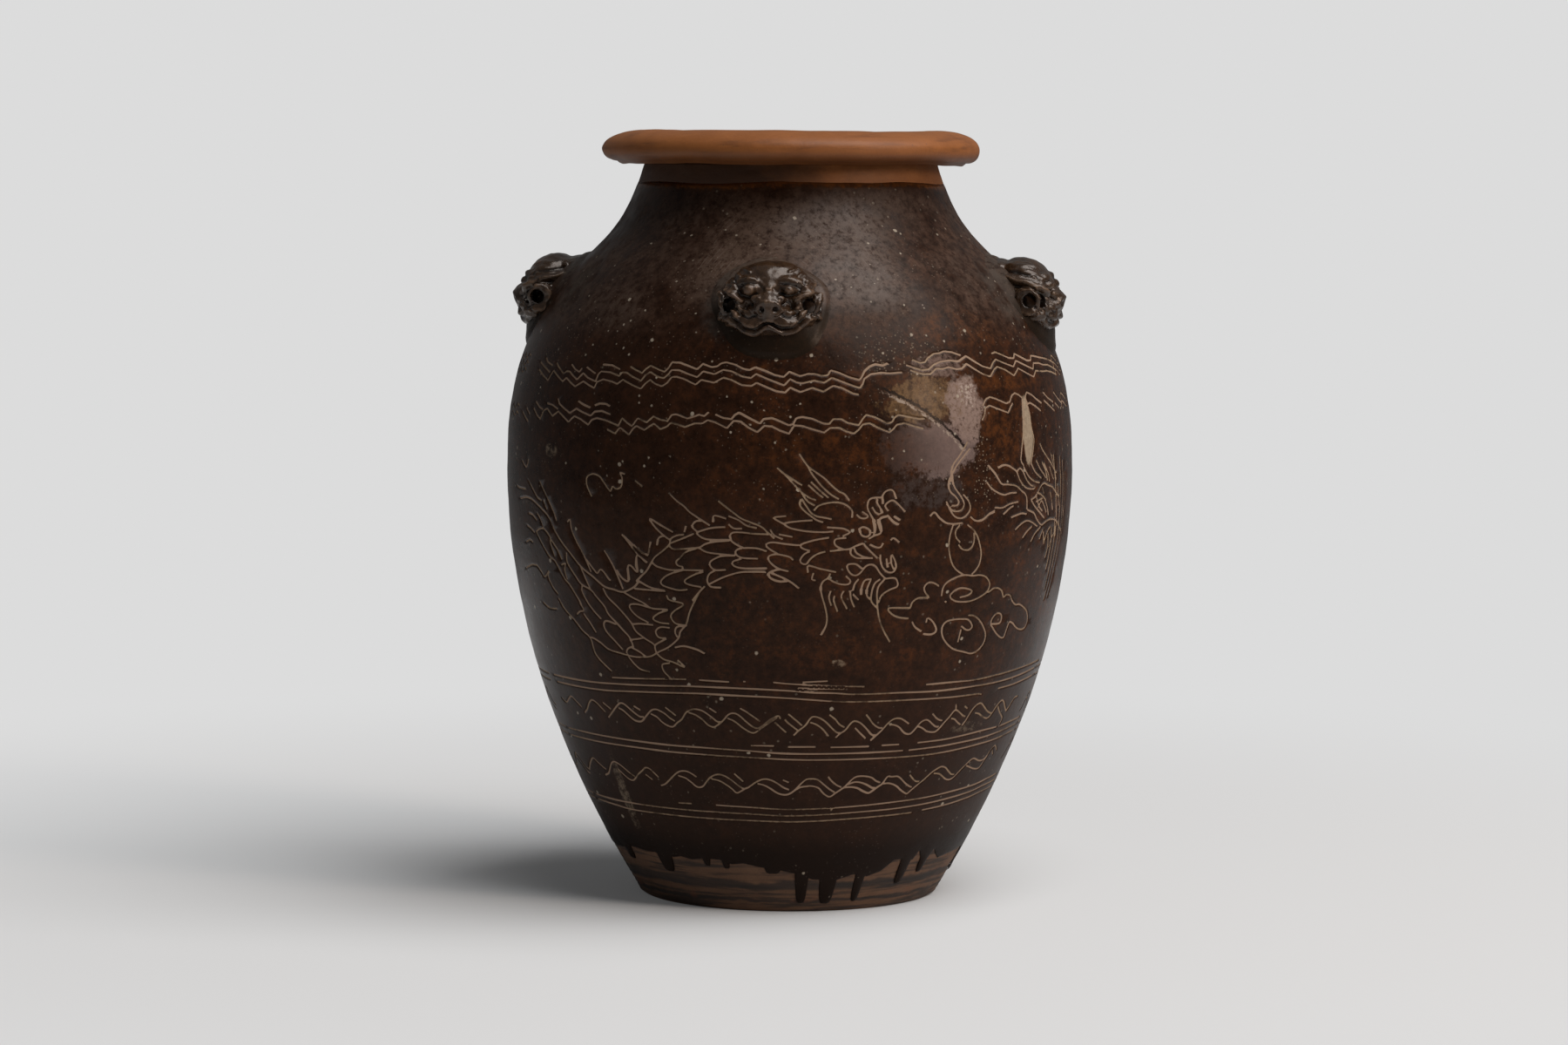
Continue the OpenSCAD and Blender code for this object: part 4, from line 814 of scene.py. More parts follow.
def round_end(line, end, reach):
    """Three places round an end of a row, reach mm beyond it."""
    turn, z, across_turn, across_climb = (part[end] for part in line)
    per_degree = outline(np.array([z]))[0][0] * math.pi / 180
    along = np.array([across_climb, -across_turn * per_degree]) * (1 if end else -1)
    across = np.array([across_turn * per_degree, across_climb])
    out = []
    for lean in (-0.9, 0.0, 0.9):
        step = (along * math.cos(lean) + across * math.sin(lean)) * reach
        out.append((turn + step[0] / per_degree, float(height_at(climb(z) + step[1]))))
    return np.array(out)


def wrapped(turn):
    return (np.asarray(turn) + 180.0) % 360.0 - 180.0


FIGURES = HEAD + NECK + BODY + CLOUD + SECOND
soft_strokes = FIGURES + WAVE_HIGH + WAVE_LOW + [s for s in BACK if len(s) < 80]
sharp_strokes = ZIGZAG_HIGH + ZIGZAG_LOW + [s for s in BACK if len(s) >= 120]
ring_strokes = RINGS + [s for s in BACK if 80 <= len(s) < 120]
rows = ([(drawn(s), drawn(s, step=0.4)) for s in soft_strokes]
        + [(drawn(s, False), drawn(s, False, 0.4)) for s in sharp_strokes]
        + [(drawn(s, step=3.2), drawn(s, step=0.4)) for s in ring_strokes])
groove_places = np.vstack([on_jar(fine[0], fine[1]) for coarse, fine in rows])
groove_tree = kdtree.KDTree(len(groove_places))
for i, p in enumerate(groove_places):
    groove_tree.insert(p, i)
groove_tree.balance()
print(f"{len(rows)} strokes, {len(groove_places) * 0.0004:.1f} m of line")

# %% Where the glaze stops
FOOT_LINE = [(-75, 34), (-60, 36.5), (-47, 37), (-39, 35), (-36, 36.5), (-32, 35), (-22, 36), (-18, 34), (-14, 35),
             (-9, 32), (-2, 30), (2, 28), (8, 23), (16, 23), (20, 25), (22, 26), (27, 23.5), (32, 27), (36, 34),
             (38.5, 34), (44, 33), (45.5, 39.5), (47.5, 34), (51.5, 32), (53, 38), (55, 34), (58, 30), (64, 32),
             (75, 33), (100, 35), (130, 31), (160, 35), (190, 32), (220, 36), (250, 32), (285, 34)]
RUNS = [(-62.5, 4.4, 28), (-43, 5, 24), (-26.5, 2, 31), (-20, 2, 30), (-5, 4, 27.5), (4.5, 3.5, 6), (13.5, 4.6, 5.3),
        (24.5, 2.8, 6), (41, 3.5, 16.3), (49.5, 3, 22.8), (82, 5.4, 15), (98, 5.5, 15), (139, 5, 9), (156, 6, 24),
        (175, 4.5, 12), (214, 5.5, 17), (229, 4.5, 10), (268, 6, 19)]
RUN_WIDTH = 1.3
TOP_LINE = 486.5


def glaze_line(turn):
    """Height where the glaze ends above the foot: a wavering line with round-ended runs."""
    a = (np.asarray(turn, float) + 75) % 360 - 75
    level = np.interp(a, *zip(*FOOT_LINE))
    level = level + 0.7 * np.sin(np.radians(a * 17)) * np.sin(np.radians(a * 5 + 20))
    low = level
    for middle, width, tip in RUNS:
        x = np.abs(a - middle) / (width * RUN_WIDTH / 2)
        low = np.where(x < 1, np.minimum(low, tip + (level - tip) * x**5), low)
    return low


def top_line(turn):
    a = np.radians(turn)
    return TOP_LINE + 1.1 * np.sin(3 * a + 0.6) + 0.8 * np.sin(7 * a + 2)


def even_line(height_of, step):
    """Places every step mm along a closed line given by its height at each turn, from -180 to 180."""
    a = np.linspace(-180, 180, 14401)
    z = height_of(a)
    run = np.concatenate([[0], np.cumsum(np.linalg.norm(np.diff(on_jar(a, z), axis=0), axis=1))])
    s = np.linspace(0, run[-1], int(run[-1] / step) + 1)
    return np.stack([np.interp(s, run, a), np.interp(s, run, z)], -1)


foot_edge, top_edge = even_line(glaze_line, 0.9), even_line(top_line, 2.5)
print(f"the glaze ends {foot_edge[:, 1].min():.1f} to {foot_edge[:, 1].max():.1f} mm above the foot")

# %% Triangles over the whole wall
def flat(places):
    return np.stack([np.radians(places[:, 0]) * UNROLL, climb(places[:, 1])], -1)


def thin_out(places, apart):
    """Keeps places in order, each at least its own distance in mm from those kept before."""
    cells, kept = {}, []
    for i, ((u, s), d) in enumerate(zip(flat(places).tolist(), apart)):
        cu, cs = int(u // 2.6), int(s // 2.6)
        near = (q for du in (-1, 0, 1) for ds in (-1, 0, 1) for q in cells.get((cu + du, cs + ds), ()))
        if all((q[0] - u)**2 + (q[1] - s)**2 >= d * d for q in near):
            cells.setdefault((cu, cs), []).append((u, s))
            kept.append(i)
    return np.array(kept)


def inside_glaze(places, margin):
    return (places[:, 1] > glaze_line(places[:, 0]) + margin) & (places[:, 1] < top_line(places[:, 0]) - margin)


def triangles(places):
    """Delaunay triangles between the lower and the upper end of the glaze."""
    points = [Vector(p) for p in flat(places).tolist()]
    faces = np.array([f for f in delaunay_2d_cdt(points, [], [], 0, 1e-6, False)[2] if len(f) == 3])
    middle = places[faces].mean(axis=1)
    return faces[inside_glaze(middle, 0.0)]


def base_places(pitch):
    """Staggered places over the unrolled wall."""
    out = []
    for k, s in enumerate(np.arange(climb(5.0), climb(486.0), pitch * 0.866)):
        u = np.arange(-180 + 0.5 * (k % 2), 180, 1.0 / (UNROLL * math.pi / 180 / pitch))
        out.append(np.stack([u, np.full_like(u, height_at(s))], -1))
    return np.vstack(out)


def column(pitch):
    """A seam at the back: the same heights at -180 and at +180."""
    low, high = climb(foot_edge[0, 1]), climb(top_edge[0, 1])
    z = height_at(np.linspace(low, high, int((high - low) / pitch) + 1))[1:-1]
    return [np.stack([np.full_like(z, side), z], -1) for side in (-180.0, 180.0)]


def skin(pitch, seam_pitch, cuts):
    """Places, triangles and the number of edge places, with both seams welded."""
    left, right = column(seam_pitch)
    edge = np.vstack([foot_edge, top_edge])
    groups = [(edge, 0.0), (left, 0.0), (right, 0.0)]
    if cuts:
        a = foot_edge[:, 0]
        slope = np.gradient(climb(foot_edge[:, 1])) / (np.gradient(a) * outline(foot_edge[:, 1])[0] * math.pi / 180)
        size = np.hypot(slope, 1)
        for d in (0.55, 1.4, 2.6):
            groups.append((np.stack([a - d * slope / size / 1.85, height_at(climb(foot_edge[:, 1]) + d / size)], -1), 0.5))
        for offset, apart in ((GROOVE_FLOOR, 0.42), (GROOVE_BANK, 0.5)):
            for coarse, fine in rows:
                groups += [(beside(coarse, side * offset), apart) for side in (-1, 1)]
        field = np.vstack([beside(coarse, side * 1.75) for coarse, fine in rows for side in (-1, 1)]
                          + [round_end(coarse, end, reach) for coarse, fine in rows for end in (0, -1) for reach in (1.05, 1.8)])
        clear = [groove_tree.find(p)[2] > GROOVE_BANK for p in on_jar(field[:, 0], field[:, 1])]
        groups.append((field[clear], 0.75))
    groups.append((base_places(pitch), 2.3))
    places = np.vstack([g for g, d in groups])
    apart = np.concatenate([np.full(len(g), d) for g, d in groups])
    fixed = len(edge) + len(left) + len(right)
    places[fixed:, 0] = wrapped(places[fixed:, 0])
    usable = np.arange(len(places)) < fixed
    usable |= inside_glaze(places, 0.25)
    places, apart = places[usable], apart[usable]
    kept = thin_out(places, apart)
    places = places[kept]
    faces = triangles(places)
    weld = np.arange(len(places))
    weld[len(foot_edge) - 1] = 0
    weld[len(edge) - 1] = len(foot_edge)
    first = len(edge)
    weld[first + len(left):first + len(left) + len(right)] = np.arange(first, first + len(left))
    return places, weld[faces], len(edge)


places, faces, edge_count = skin(6.0, 1.0, True)
print(f"outer skin: {len(places)} places, {len(faces)} triangles")

# %% Lift each point to its place on the glaze
def runs_bulge(places, distance):
    """A run is thicker near its round end."""
    a = (places[:, 0] + 75) % 360 - 75
    thick = np.zeros(len(places))
    for middle, width, tip in RUNS:
        x = (a - middle) / (width * RUN_WIDTH / 2)
        thick = np.maximum(thick, np.exp(-x**2 * 1.4) * np.exp(-np.clip(places[:, 1] - tip - 4, 0, None) / 9))
    return thick * (1 - np.exp(-distance / 1.6))


def glaze_lift(places):
    """Lift above the outline and the marks carried at each point: cut by a groove, thin near an end."""
    spots = on_jar(places[:, 0], places[:, 1])
    away = np.array([groove_tree.find(p)[2] for p in spots])
    edge_tree = kdtree.KDTree(len(foot_edge))
    for i, p in enumerate(on_jar(foot_edge[:, 0], foot_edge[:, 1])):
        edge_tree.insert(p, i)
    edge_tree.balance()
    near_foot = places[:, 1] < 60
    distance = np.full(len(places), 30.0)
    distance[near_foot] = [edge_tree.find(p)[2] for p in spots[near_foot]]
    from_top = np.clip(top_line(places[:, 0]) - places[:, 1], 0, 30)
    bank = np.clip((away - GROOVE_FLOOR) / (GROOVE_BANK - GROOVE_FLOOR), 0, 1)
    depth = GROOVE_DEPTH * (1 - bank * bank * (3 - 2 * bank))
    rings = 0.05 * np.sin(climb(places[:, 1]) / 2.3) + 0.08 * np.sin(climb(places[:, 1]) / 5.9 + 1)
    swell = 0.22 * rough(spots, 46, 3) + 0.1 * rough(spots, 17, 8) + rings
    lift = -0.35 + np.clip(swell, -0.35, 0.3) - depth
    lift += 0.75 * runs_bulge(places, distance)
    full = np.minimum(1 - np.exp(-distance / 0.75), 1 - np.exp(-from_top / 1.6))
    lift = -GLAZE_T + (lift + GLAZE_T) * full
    return lift, away / GROOVE_BANK, np.minimum(distance, from_top)


lift, cut, from_edge = glaze_lift(places)
outer = on_jar(places[:, 0], places[:, 1], lift)
under_places, under_faces, under_edge = skin(13.0, 13.0, False)
under = on_jar(under_places[:, 0], under_places[:, 1], -1.1)[under_edge:]
joined = np.where(under_faces < under_edge, under_faces, under_faces - under_edge + len(outer))
points = np.vstack([outer, under])
all_faces = np.vstack([faces, joined[:, ::-1]])
used = np.unique(all_faces)
index = np.full(len(points), -1)
index[used] = np.arange(len(used))
glaze = make_object("jar_glaze", points[used], index[all_faces])
for name, values in (("cut", cut), ("from_edge", from_edge)):
    mark = glaze.data.attributes.new(name, "FLOAT", "POINT")
    full_values = np.concatenate([values, np.full(len(under), 2.0)])[used]
    mark.data.foreach_set("value", np.minimum(full_values, 30.0).astype(np.float32))
shape = bmesh.new()
shape.from_mesh(glaze.data)
print("open edges:", sum(e.is_boundary for e in shape.edges), "of", len(shape.edges),
      "volume cm3:", round(shape.calc_volume() * 1e6, 1))
shape.free()
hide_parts("glaze_coat")
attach(glaze, "root")

# %% [markdown]
# Clay body, neck and rim
#
# The wall under the glaze is bare stoneware. It shows at the foot, where it was smeared and turned,
# and down inside, where the potter's fingers left rings. The neck is a coil of the same clay, and
# the rim was rolled outward and down by hand, so its lower lip wavers and is thicker on one side.

# %% Clay body
INSIDE_RING, RING_DEEP, SEAM_Z, WALL_TOP = 14.0, 0.5, 258.0, 471.5
SLAB_T, HOLLOW, STAND_RING, BEVEL = 14.0, 2.5, 24.0, 1.5


def clay_outside(z):
    radius, slope = outline(z)
    return radius - GLAZE_T * np.sqrt(1 + slope**2)


def clay_inside(z):
    radius, slope = outline(z)
    return radius - (GLAZE_T + wall_under(z)) * np.sqrt(1 + slope**2)


foot_r = float(clay_outside(np.array([0.0]))[0])
outside_z = np.concatenate([np.arange(BEVEL, 46, 1.5), np.linspace(48, WALL_TOP, 72)])
inside_z = np.linspace(WALL_TOP, SLAB_T + 3, 190)
inside_r = clay_inside(inside_z) + RING_DEEP * np.sin(inside_z / INSIDE_RING * 2 * math.pi) - RING_DEEP
inside_r -= 1.6 * np.exp(-((inside_z - SEAM_Z) / 4.0)**2)
wall_rings = [(2.0, HOLLOW), (30, HOLLOW), (foot_r - STAND_RING - 2, HOLLOW), (foot_r - STAND_RING + 2, 0.6),
              (foot_r - STAND_RING + 5, 0.0), (foot_r - 6, 0.0), (foot_r - BEVEL, 0.0)]
wall_rings += list(zip(clay_outside(outside_z), outside_z))
wall_rings += list(zip(inside_r, inside_z))
corner = inside_r[-1]
wall_rings += [(corner - 1.2, SLAB_T + 1.0), (corner - 4, SLAB_T), (60, SLAB_T), (30, SLAB_T), (2.0, SLAB_T)]


def turned_foot(points):
    """Smears and shallow turning lines where the clay is bare; the stand ring stays level."""
    r = np.hypot(points[:, 0], points[:, 1])
    low = np.clip((46 - points[:, 2]) / 12, 0, 1) * np.clip(points[:, 2] / 4, 0, 1)
    lines = np.sin(points[:, 2] * 1.9 + 0.9 * rough(points, 60, 2)) * 0.16
    move = (lines + 0.35 * rough(points, 14, 4) - 0.3) * low
    points[:, 0] *= 1 + move / np.maximum(r, 1)
    points[:, 1] *= 1 + move / np.maximum(r, 1)
    return points


wall = lathe("clay_body", wall_rings, 320, poles=True, wobble=turned_foot)
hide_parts("base_slab", "lower_wall", "shoulder_wall")
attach(wall, "root")

# %% Neck collar
neck_z = np.linspace(WALL_TOP, RIM_Z, 18)
proud = 0.2 * np.clip((neck_z - 482) / 3, 0, 1)
neck_rings = list(zip(clay_outside(neck_z) + proud, neck_z)) + list(zip(clay_inside(neck_z), neck_z))[::-1]


def uneven_neck(points):
    r = np.hypot(points[:, 0], points[:, 1])
    free = (r > 95) * np.clip((RIM_Z - points[:, 2]) / 3, 0, 1) * np.clip((points[:, 2] - 489) / 3, 0, 1)
    points[:, :2] *= (1 + 0.3 * rough(points, 12, 6) * free / r)[:, None]
    return points


neck = lathe("neck_collar", neck_rings, 320, wobble=uneven_neck)
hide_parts("neck_coil")
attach(neck, "root")

# %% Rolled rim
THROAT_R, ROLL_R, ROLL_Z = 89.77, 103.5, 506.5
NECK_TOP_R = float(clay_outside(np.array([RIM_Z]))[0])


def arc(middle_r, middle_z, wide, tall, start, end, count):
    t = np.radians(np.linspace(start, end, count))
    return list(zip(middle_r + wide * np.cos(t), middle_z + tall * np.sin(t)))


rim_rings = [(r, RIM_Z) for r in np.linspace(THROAT_R, NECK_TOP_R, 6)]
rim_rings += [(r, RIM_Z + 0.6 * math.sin((r - NECK_TOP_R) * 0.18)) for r in np.linspace(NECK_TOP_R + 3, 117, 5)]
rim_rings += arc(121, ROLL_Z, 7.5, 6.8, -100, -8, 12)
rim_rings += arc(ROLL_R, ROLL_Z, 25, 13.5, 0, 86, 20)
rim_rings += arc(ROLL_R, 509.5, 13.73, 10.5, 92, 176, 14)
rim_rings += [(THROAT_R, z) for z in (506.0, 501.5)]


def rolled_by_hand(points):
    """The lip sags and thickens round the rim, with a soft fold along its face and dents on top."""
    r = np.hypot(points[:, 0], points[:, 1])
    turn = np.arctan2(points[:, 0], -points[:, 1])
    ring = np.stack([points[:, 0] / r * 110, points[:, 1] / r * 110, 0 * r], -1)
    out = np.clip((r - NECK_TOP_R - 4) / 16, 0, 1)
    sag = -0.4 + 0.7 * rough(ring, 60, 2) + 0.35 * rough(ring, 18, 5)
    under = np.clip((508 - points[:, 2]) / 8, 0, 1)
    points[:, 2] += out * under * (sag - 1.0 * np.sin(turn - 0.3).clip(0))
    fold = 0.45 * np.exp(-((points[:, 2] - 508.5 - 1.5 * np.sin(turn * 2 + 1)) / 2.4)**2) * (r > 118)
    top = np.clip((points[:, 2] - 512) / 6, 0, 1)
    points[:, 2] -= top * np.clip(0.7 + 0.9 * rough(ring, 70, 9) + 0.2 * rough(ring, 20, 3), 0, 2)
    grow = out * (0.5 * rough(ring, 30, 11) + 0.12 * rough(points, 9, 1) - 0.2) + fold * (0.6 + 0.5 * np.sin(turn * 3))
    points[:, :2] *= (1 + grow / r)[:, None]
    points[:, 2] = np.minimum(points[:, 2], JAR_H)
    return points


rim = lathe("hand_rolled_rim", rim_rings, 360, wobble=rolled_by_hand)
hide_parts("rolled_rim")
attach(rim, "root")
print("rim top", max(v.co.z for v in rim.data.vertices))

# %% [markdown]
# Lion masks and their mounds
#
# The real masks were pressed in one mould, set on a mound of soft clay on the shoulder and pierced
# side to side with a stick. So one head is modelled and used four times: balls of clay are run
# together by a voxel remesh, the cord hole is bored, and then brows, eyes, nostrils, lips and mane
# are raised or scored along short paths, as a modelling tool does. Each copy gets its own wear.

# %% Balls of clay, run together and bored
LUG_TURNS = {"front": -4.5, "right": 78.0, "back": 174.0, "left": -93.0}
LUG_R, LUG_Z = 169.459, 407.0
CLAY_BALLS = [
    ((-10, 0, 5), (22, 29, 23.5)), ((-26, 0, 6), (20, 28, 21.5)), ((5.8, 0, -1), (13.8, 13, 10.8)),
    ((-8, 19, 3), (19, 10, 18)), ((-8, -19, 3), (19, 10, 18)), ((7, 10, -9), (9, 10, 7)), ((7, -10, -9), (9, 10, 7)),
    ((1, 20, -7), (10.5, 9.5, 9)), ((1, -20, -7), (10.5, 9.5, 9)), ((2.5, 0, -14.5), (12, 23, 7)), ((-1, 0, -1), (10, 28.5, 11)),
    ((1, 12, 11), (11.5, 9, 8)), ((1, -12, 11), (11.5, 9, 8)), ((-9, 0, 18), (10, 22, 9)),
    ((-1, 30, -1), (8.5, 3.8, 9)), ((-1, -30, -1), (8.5, 3.8, 9)),
]
HOLE_BALLS = [((4, 25.5, -0.5), (10.0, 4.6, 4.9)), ((4, -25.5, -0.5), (10.0, 4.6, 4.9))]
SHARP = {"front": 1.0, "right": 0.62, "back": 0.8, "left": 0.58}


def balls(name, shapes, level=4):
    joined = bmesh.new()
    for middle, radii in shapes:
        spot = Matrix.Translation(Vector(middle) * MM) @ Matrix.Diagonal((*radii, 1.0))
        bmesh.ops.create_icosphere(joined, subdivisions=level, radius=MM, matrix=spot)
    mesh = bpy.data.meshes.new(name)
    joined.to_mesh(mesh)
    joined.free()
    made = bpy.data.objects.new(name, mesh)
    bpy.context.collection.objects.link(made)
    return made


def modify(piece, kind, **settings):
    step = piece.modifiers.new(kind.lower(), kind)
    for key, value in settings.items():
        setattr(step, key, value)


head = balls("head", CLAY_BALLS)
borer = balls("borer", HOLE_BALLS + [((0, 3.0 * k, -0.3), (4.4, 4.4, 4.4)) for k in range(-11, 12)], 3)
modify(borer, "REMESH", mode="VOXEL", voxel_size=0.8 * MM)
modify(head, "REMESH", mode="VOXEL", voxel_size=0.9 * MM)
modify(head, "BOOLEAN", operation="DIFFERENCE", solver="EXACT", object=borer)
modify(head, "REMESH", mode="VOXEL", voxel_size=0.75 * MM)
modify(head, "SMOOTH", factor=0.5, iterations=4)
bpy.context.view_layer.update()
ready = bpy.data.meshes.new_from_object(head.evaluated_get(bpy.context.evaluated_depsgraph_get()))
head_points = np.array([v.co for v in ready.vertices]) / MM
head_normals = np.array([n.vector for n in ready.vertex_normals])
head_faces = [tuple(f.vertices) for f in ready.polygons]
for scrap in (head, borer):
    bpy.data.objects.remove(scrap, do_unlink=True)
print(f"one head: {len(head_points)} points")

# %% Features raised or scored along paths
FRONT_PATHS = [
    ([0, 9, 5, 12.5, 10, 16.5, 16, 17, 21, 13.5, 25, 9], 1.5, 1.5), ([3, 10.5, 7, 14, 13, 14.2, 18, 12], 1.1, -1.7),
    ([12.4, 10, 12.8, 10], 2.9, 2.6), ([7.6, 7, 12, 5.2, 17, 6.4, 19.5, 9], 1.1, -1.6), ([6, 4, 12, 2.4, 18, 3.6, 23, 7], 1.3, 1.2),
    ([0, 12, 0, 8, 0, 3], 2.6, 1.0), ([1, 1.5, 3.8, 1.6, 6.8, -0.4, 7.4, -3.4, 5, -5.6], 1.2, 1.3), ([4.2, -2.8, 4.6, -2.8], 1.6, -2.8),
    ([0, -8.6, 3, -9.8, 8, -12.6, 14, -12.2, 19, -8.8, 24, -3], 1.5, 1.9), ([0, -11.4, 4, -12.8, 9, -15.3, 15, -14.6, 20, -11.2, 25, -6], 1.0, -1.9),
    ([0, -14, 4, -15.8, 10, -18.6, 16, -17.2, 21, -13.5, 26, -9], 1.5, 1.7), ([9, -2.6, 13, -5, 17, -3.6, 20, 0.4], 1.2, 1.3),
    ([8.5, -5.8, 13, -8.4, 18, -6.2, 21.5, -2], 0.9, -1.3), ([22, 16, 25, 12, 27, 6], 1.0, -1.2),
    ([17.5, 2.5, 22, 6.4, 27, 7], 1.3, 1.6), ([18.5, -2, 21.5, -7.4, 27, -8.4], 1.3, 1.5),
    ([19, 18, 22, 20.5, 25.5, 18, 24, 15], 1.0, 1.5), ([24, 12.5, 28, 12.5, 29, 8.5], 1.0, 1.4),
    ([13, 21, 17, 23, 21, 22.5], 1.0, 1.2), ([20, 11, 22, 14.5], 0.9, -1.3),
]
SIDE_PATHS = [
    ([-23, 25, -12, 23.5, -4, 21.5, 6, 18.5], 1.4, 1.1), ([-20, 20, -10, 19, 0, 16.5], 1.1, -1.5),
    ([-18, 16, -11.4, 13.5, -4, 12, 1.8, 10, 8, 7.5, 13, 4.8], 1.7, 2.0), ([-12, 9.5, -4, 8.8, 2, 6.6, 9, 3, 14, 0], 1.1, -1.6),
    ([2, 7.4, -5, 7, -9.4, 1, -8.4, -5.5, -3, -9, 4, -8.4], 1.9, 2.5), ([1, 6.8, 5.4, 2.8, 8, -1.5, 15, -5.5], 1.5, 1.8),
    ([3, -5, 8, -8, 14, -9.5], 1.0, -1.6), ([-2, -13, 5, -12.5, 11, -13], 1.4, 1.5), ([-16, 2, -14, -8, -8, -14], 1.2, 1.4),
]


def nearness(places, path, half):
    """1 on a path of the plane, fading to 0 beside it."""
    p = np.array(path, float).reshape(-1, 2)
    k = np.linspace(0, len(p) - 1, 12 * len(p))
    smooth_path = np.stack([np.interp(k, range(len(p)), p[:, i]) for i in (0, 1)], -1)
    away = np.min([np.hypot(*(places - q).T) for q in smooth_path], axis=0)
    return np.exp(-(away / half)**2)


def modelled_head(seed, sharp):
    """The head with its features; sharp below 1 stands for a worn or badly pressed face."""
    pts, out = head_points.copy(), head_normals
    front = np.clip(out[:, 0] * 1.6 + 0.1, 0, 1)
    side = np.clip(np.abs(out[:, 1]) * 1.9 - 0.5, 0, 1)
    waver = np.stack([rough(pts, 12, seed), rough(pts, 12, seed + 3)], -1) * 0.6
    push = np.zeros(len(pts))
    face = np.stack([np.abs(pts[:, 1]), pts[:, 2]], -1) + waver
    flank = pts[:, [0, 2]] + waver
    for path, half, height in FRONT_PATHS:
        push += sharp * height * nearness(face, path, half) * front
    for path, half, height in SIDE_PATHS:
        push += height * nearness(flank, path, half) * side
    in_hole = np.hypot(pts[:, 0], pts[:, 2] + 0.3) < 4.9
    for middle, radii in HOLE_BALLS:
        in_hole |= (((pts - middle) / radii)**2).sum(axis=1) < 1.1
    push = np.where(in_hole, 0, push + 0.16 * rough(pts, 3.5, seed + 5) + 0.5 * rough(pts, 11, seed + 7))
    # The cord hole carries a raised value of -2, so the mask finish paints it in shade.
    return pts + out * push[:, None], np.where(in_hole, -2.0, push)


def at_lug(turn, pts):
    """From the mask's own axes (out, sideways, up) to the jar."""
    a = math.radians(turn)
    out = LUG_R + pts[:, 0]
    return np.stack([out * math.sin(a) + pts[:, 1] * math.cos(a), -out * math.cos(a) + pts[:, 1] * math.sin(a),
                     LUG_Z + pts[:, 2]], -1)


def kept_outside(pts, sunk):
    """Points that would reach through the wall are brought back to sunk mm under the glaze."""
    r, turn = np.hypot(pts[:, 0], pts[:, 1]), np.degrees(np.arctan2(pts[:, 0], -pts[:, 1]))
    radius, slope = outline(pts[:, 2])
    lift = (r - radius) / np.sqrt(1 + slope**2)
    deep = lift < -sunk
    pts[deep] = on_jar(turn[deep], pts[deep, 2] - (lift[deep] + sunk) * slope[deep] / (1 + slope[deep]**2), -sunk)
    return pts


lugs = {}
for k, (side, turn) in enumerate(LUG_TURNS.items()):
    pts, push = modelled_head(10 + 4 * k, SHARP[side])
    lug = make_object(side + "_mask", kept_outside(at_lug(turn, pts), 3.0), head_faces)
    mark = lug.data.attributes.new("raised", "FLOAT", "POINT")
    mark.data.foreach_set("value", push.astype(np.float32))
    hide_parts(side + "_lug")
    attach(lug, "root")
    lugs[side] = lug

# %% Mounds, wiped out onto the shoulder
MOUND_WIDE, MOUND_TALL, MOUND_HIGH, MOUND_Z, EDGE_STEP = 38.5, 39.0, 9.5, 406.5, 1.7


def mound(turn, seed):
    """An oval of clay, highest under the mask, whose edge runs out to nothing on the glaze."""
    rings, spokes = 26, 96
    t = np.repeat(np.linspace(0.02, 1.12, rings), spokes)
    angle = np.tile(np.arange(spokes) * 2 * math.pi / spokes, rings)
    uneven = 1 + 0.05 * np.sin(2 * angle + seed) + 0.03 * np.sin(5 * angle + 2 * seed)
    u, s = MOUND_WIDE * t * np.cos(angle) * uneven, MOUND_TALL * t * np.sin(angle) * uneven
    z = height_at(climb(np.full_like(s, MOUND_Z)) + s)
    a = turn + np.degrees(u / outline(z)[0])
    fall = np.clip((t - 0.36) / 0.66, 0, 1)
    brink = np.clip((t - 0.9) / 0.12, 0, 1)
    high = (MOUND_HIGH - EDGE_STEP) * (1 - fall * fall * (3 - 2 * fall))
    high += EDGE_STEP * (1 - brink * brink * (3 - 2 * brink)) - 0.9 * np.clip((t - 0.98) / 0.12, 0, 1)
    top = on_jar(a, z, high - 0.3)
    high = high + (0.5 * rough(top, 9, seed) + 0.25 * rough(top, 3.5, seed + 2)) * np.clip(1.05 - t, 0, 1) * 1.5
    pts = np.vstack([on_jar(a, z, high - 0.3), on_jar(a, z, np.full_like(z, -3.0)),
                     on_jar(a[:1], z[:1], high[:1]), on_jar(a[:1], z[:1], -3.0)])
    around = [(k, (k + 1) % spokes) for k in range(spokes)]
    half, last = rings * spokes, (rings - 1) * spokes
    sheet = [(i * spokes + k, (i + 1) * spokes + k, (i + 1) * spokes + m, i * spokes + m) for i in range(rings - 1) for k, m in around]
    faces = sheet + [tuple(half + v for v in f[::-1]) for f in sheet]
    faces += [(last + k, half + last + k, half + last + m, last + m) for k, m in around]
    faces += [(2 * half, k, m) for k, m in around] + [(2 * half + 1, half + m, half + k) for k, m in around]
    return pts, faces


mound_pieces = {}
for k, (side, turn) in enumerate(LUG_TURNS.items()):
    piece = make_object(side + "_mound", *mound(turn, 3 + k))
    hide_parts(side + "_lug_mound")
    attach(piece, "root")
    for name, value in (("cut", 2.0), ("from_edge", 30.0)):
        mark = piece.data.attributes.new(name, "FLOAT", "POINT")
        mark.data.foreach_set("value", np.full(len(piece.data.vertices), value, np.float32))
    mound_pieces[side] = piece
print("masks and mounds:", len(lugs), len(mound_pieces))
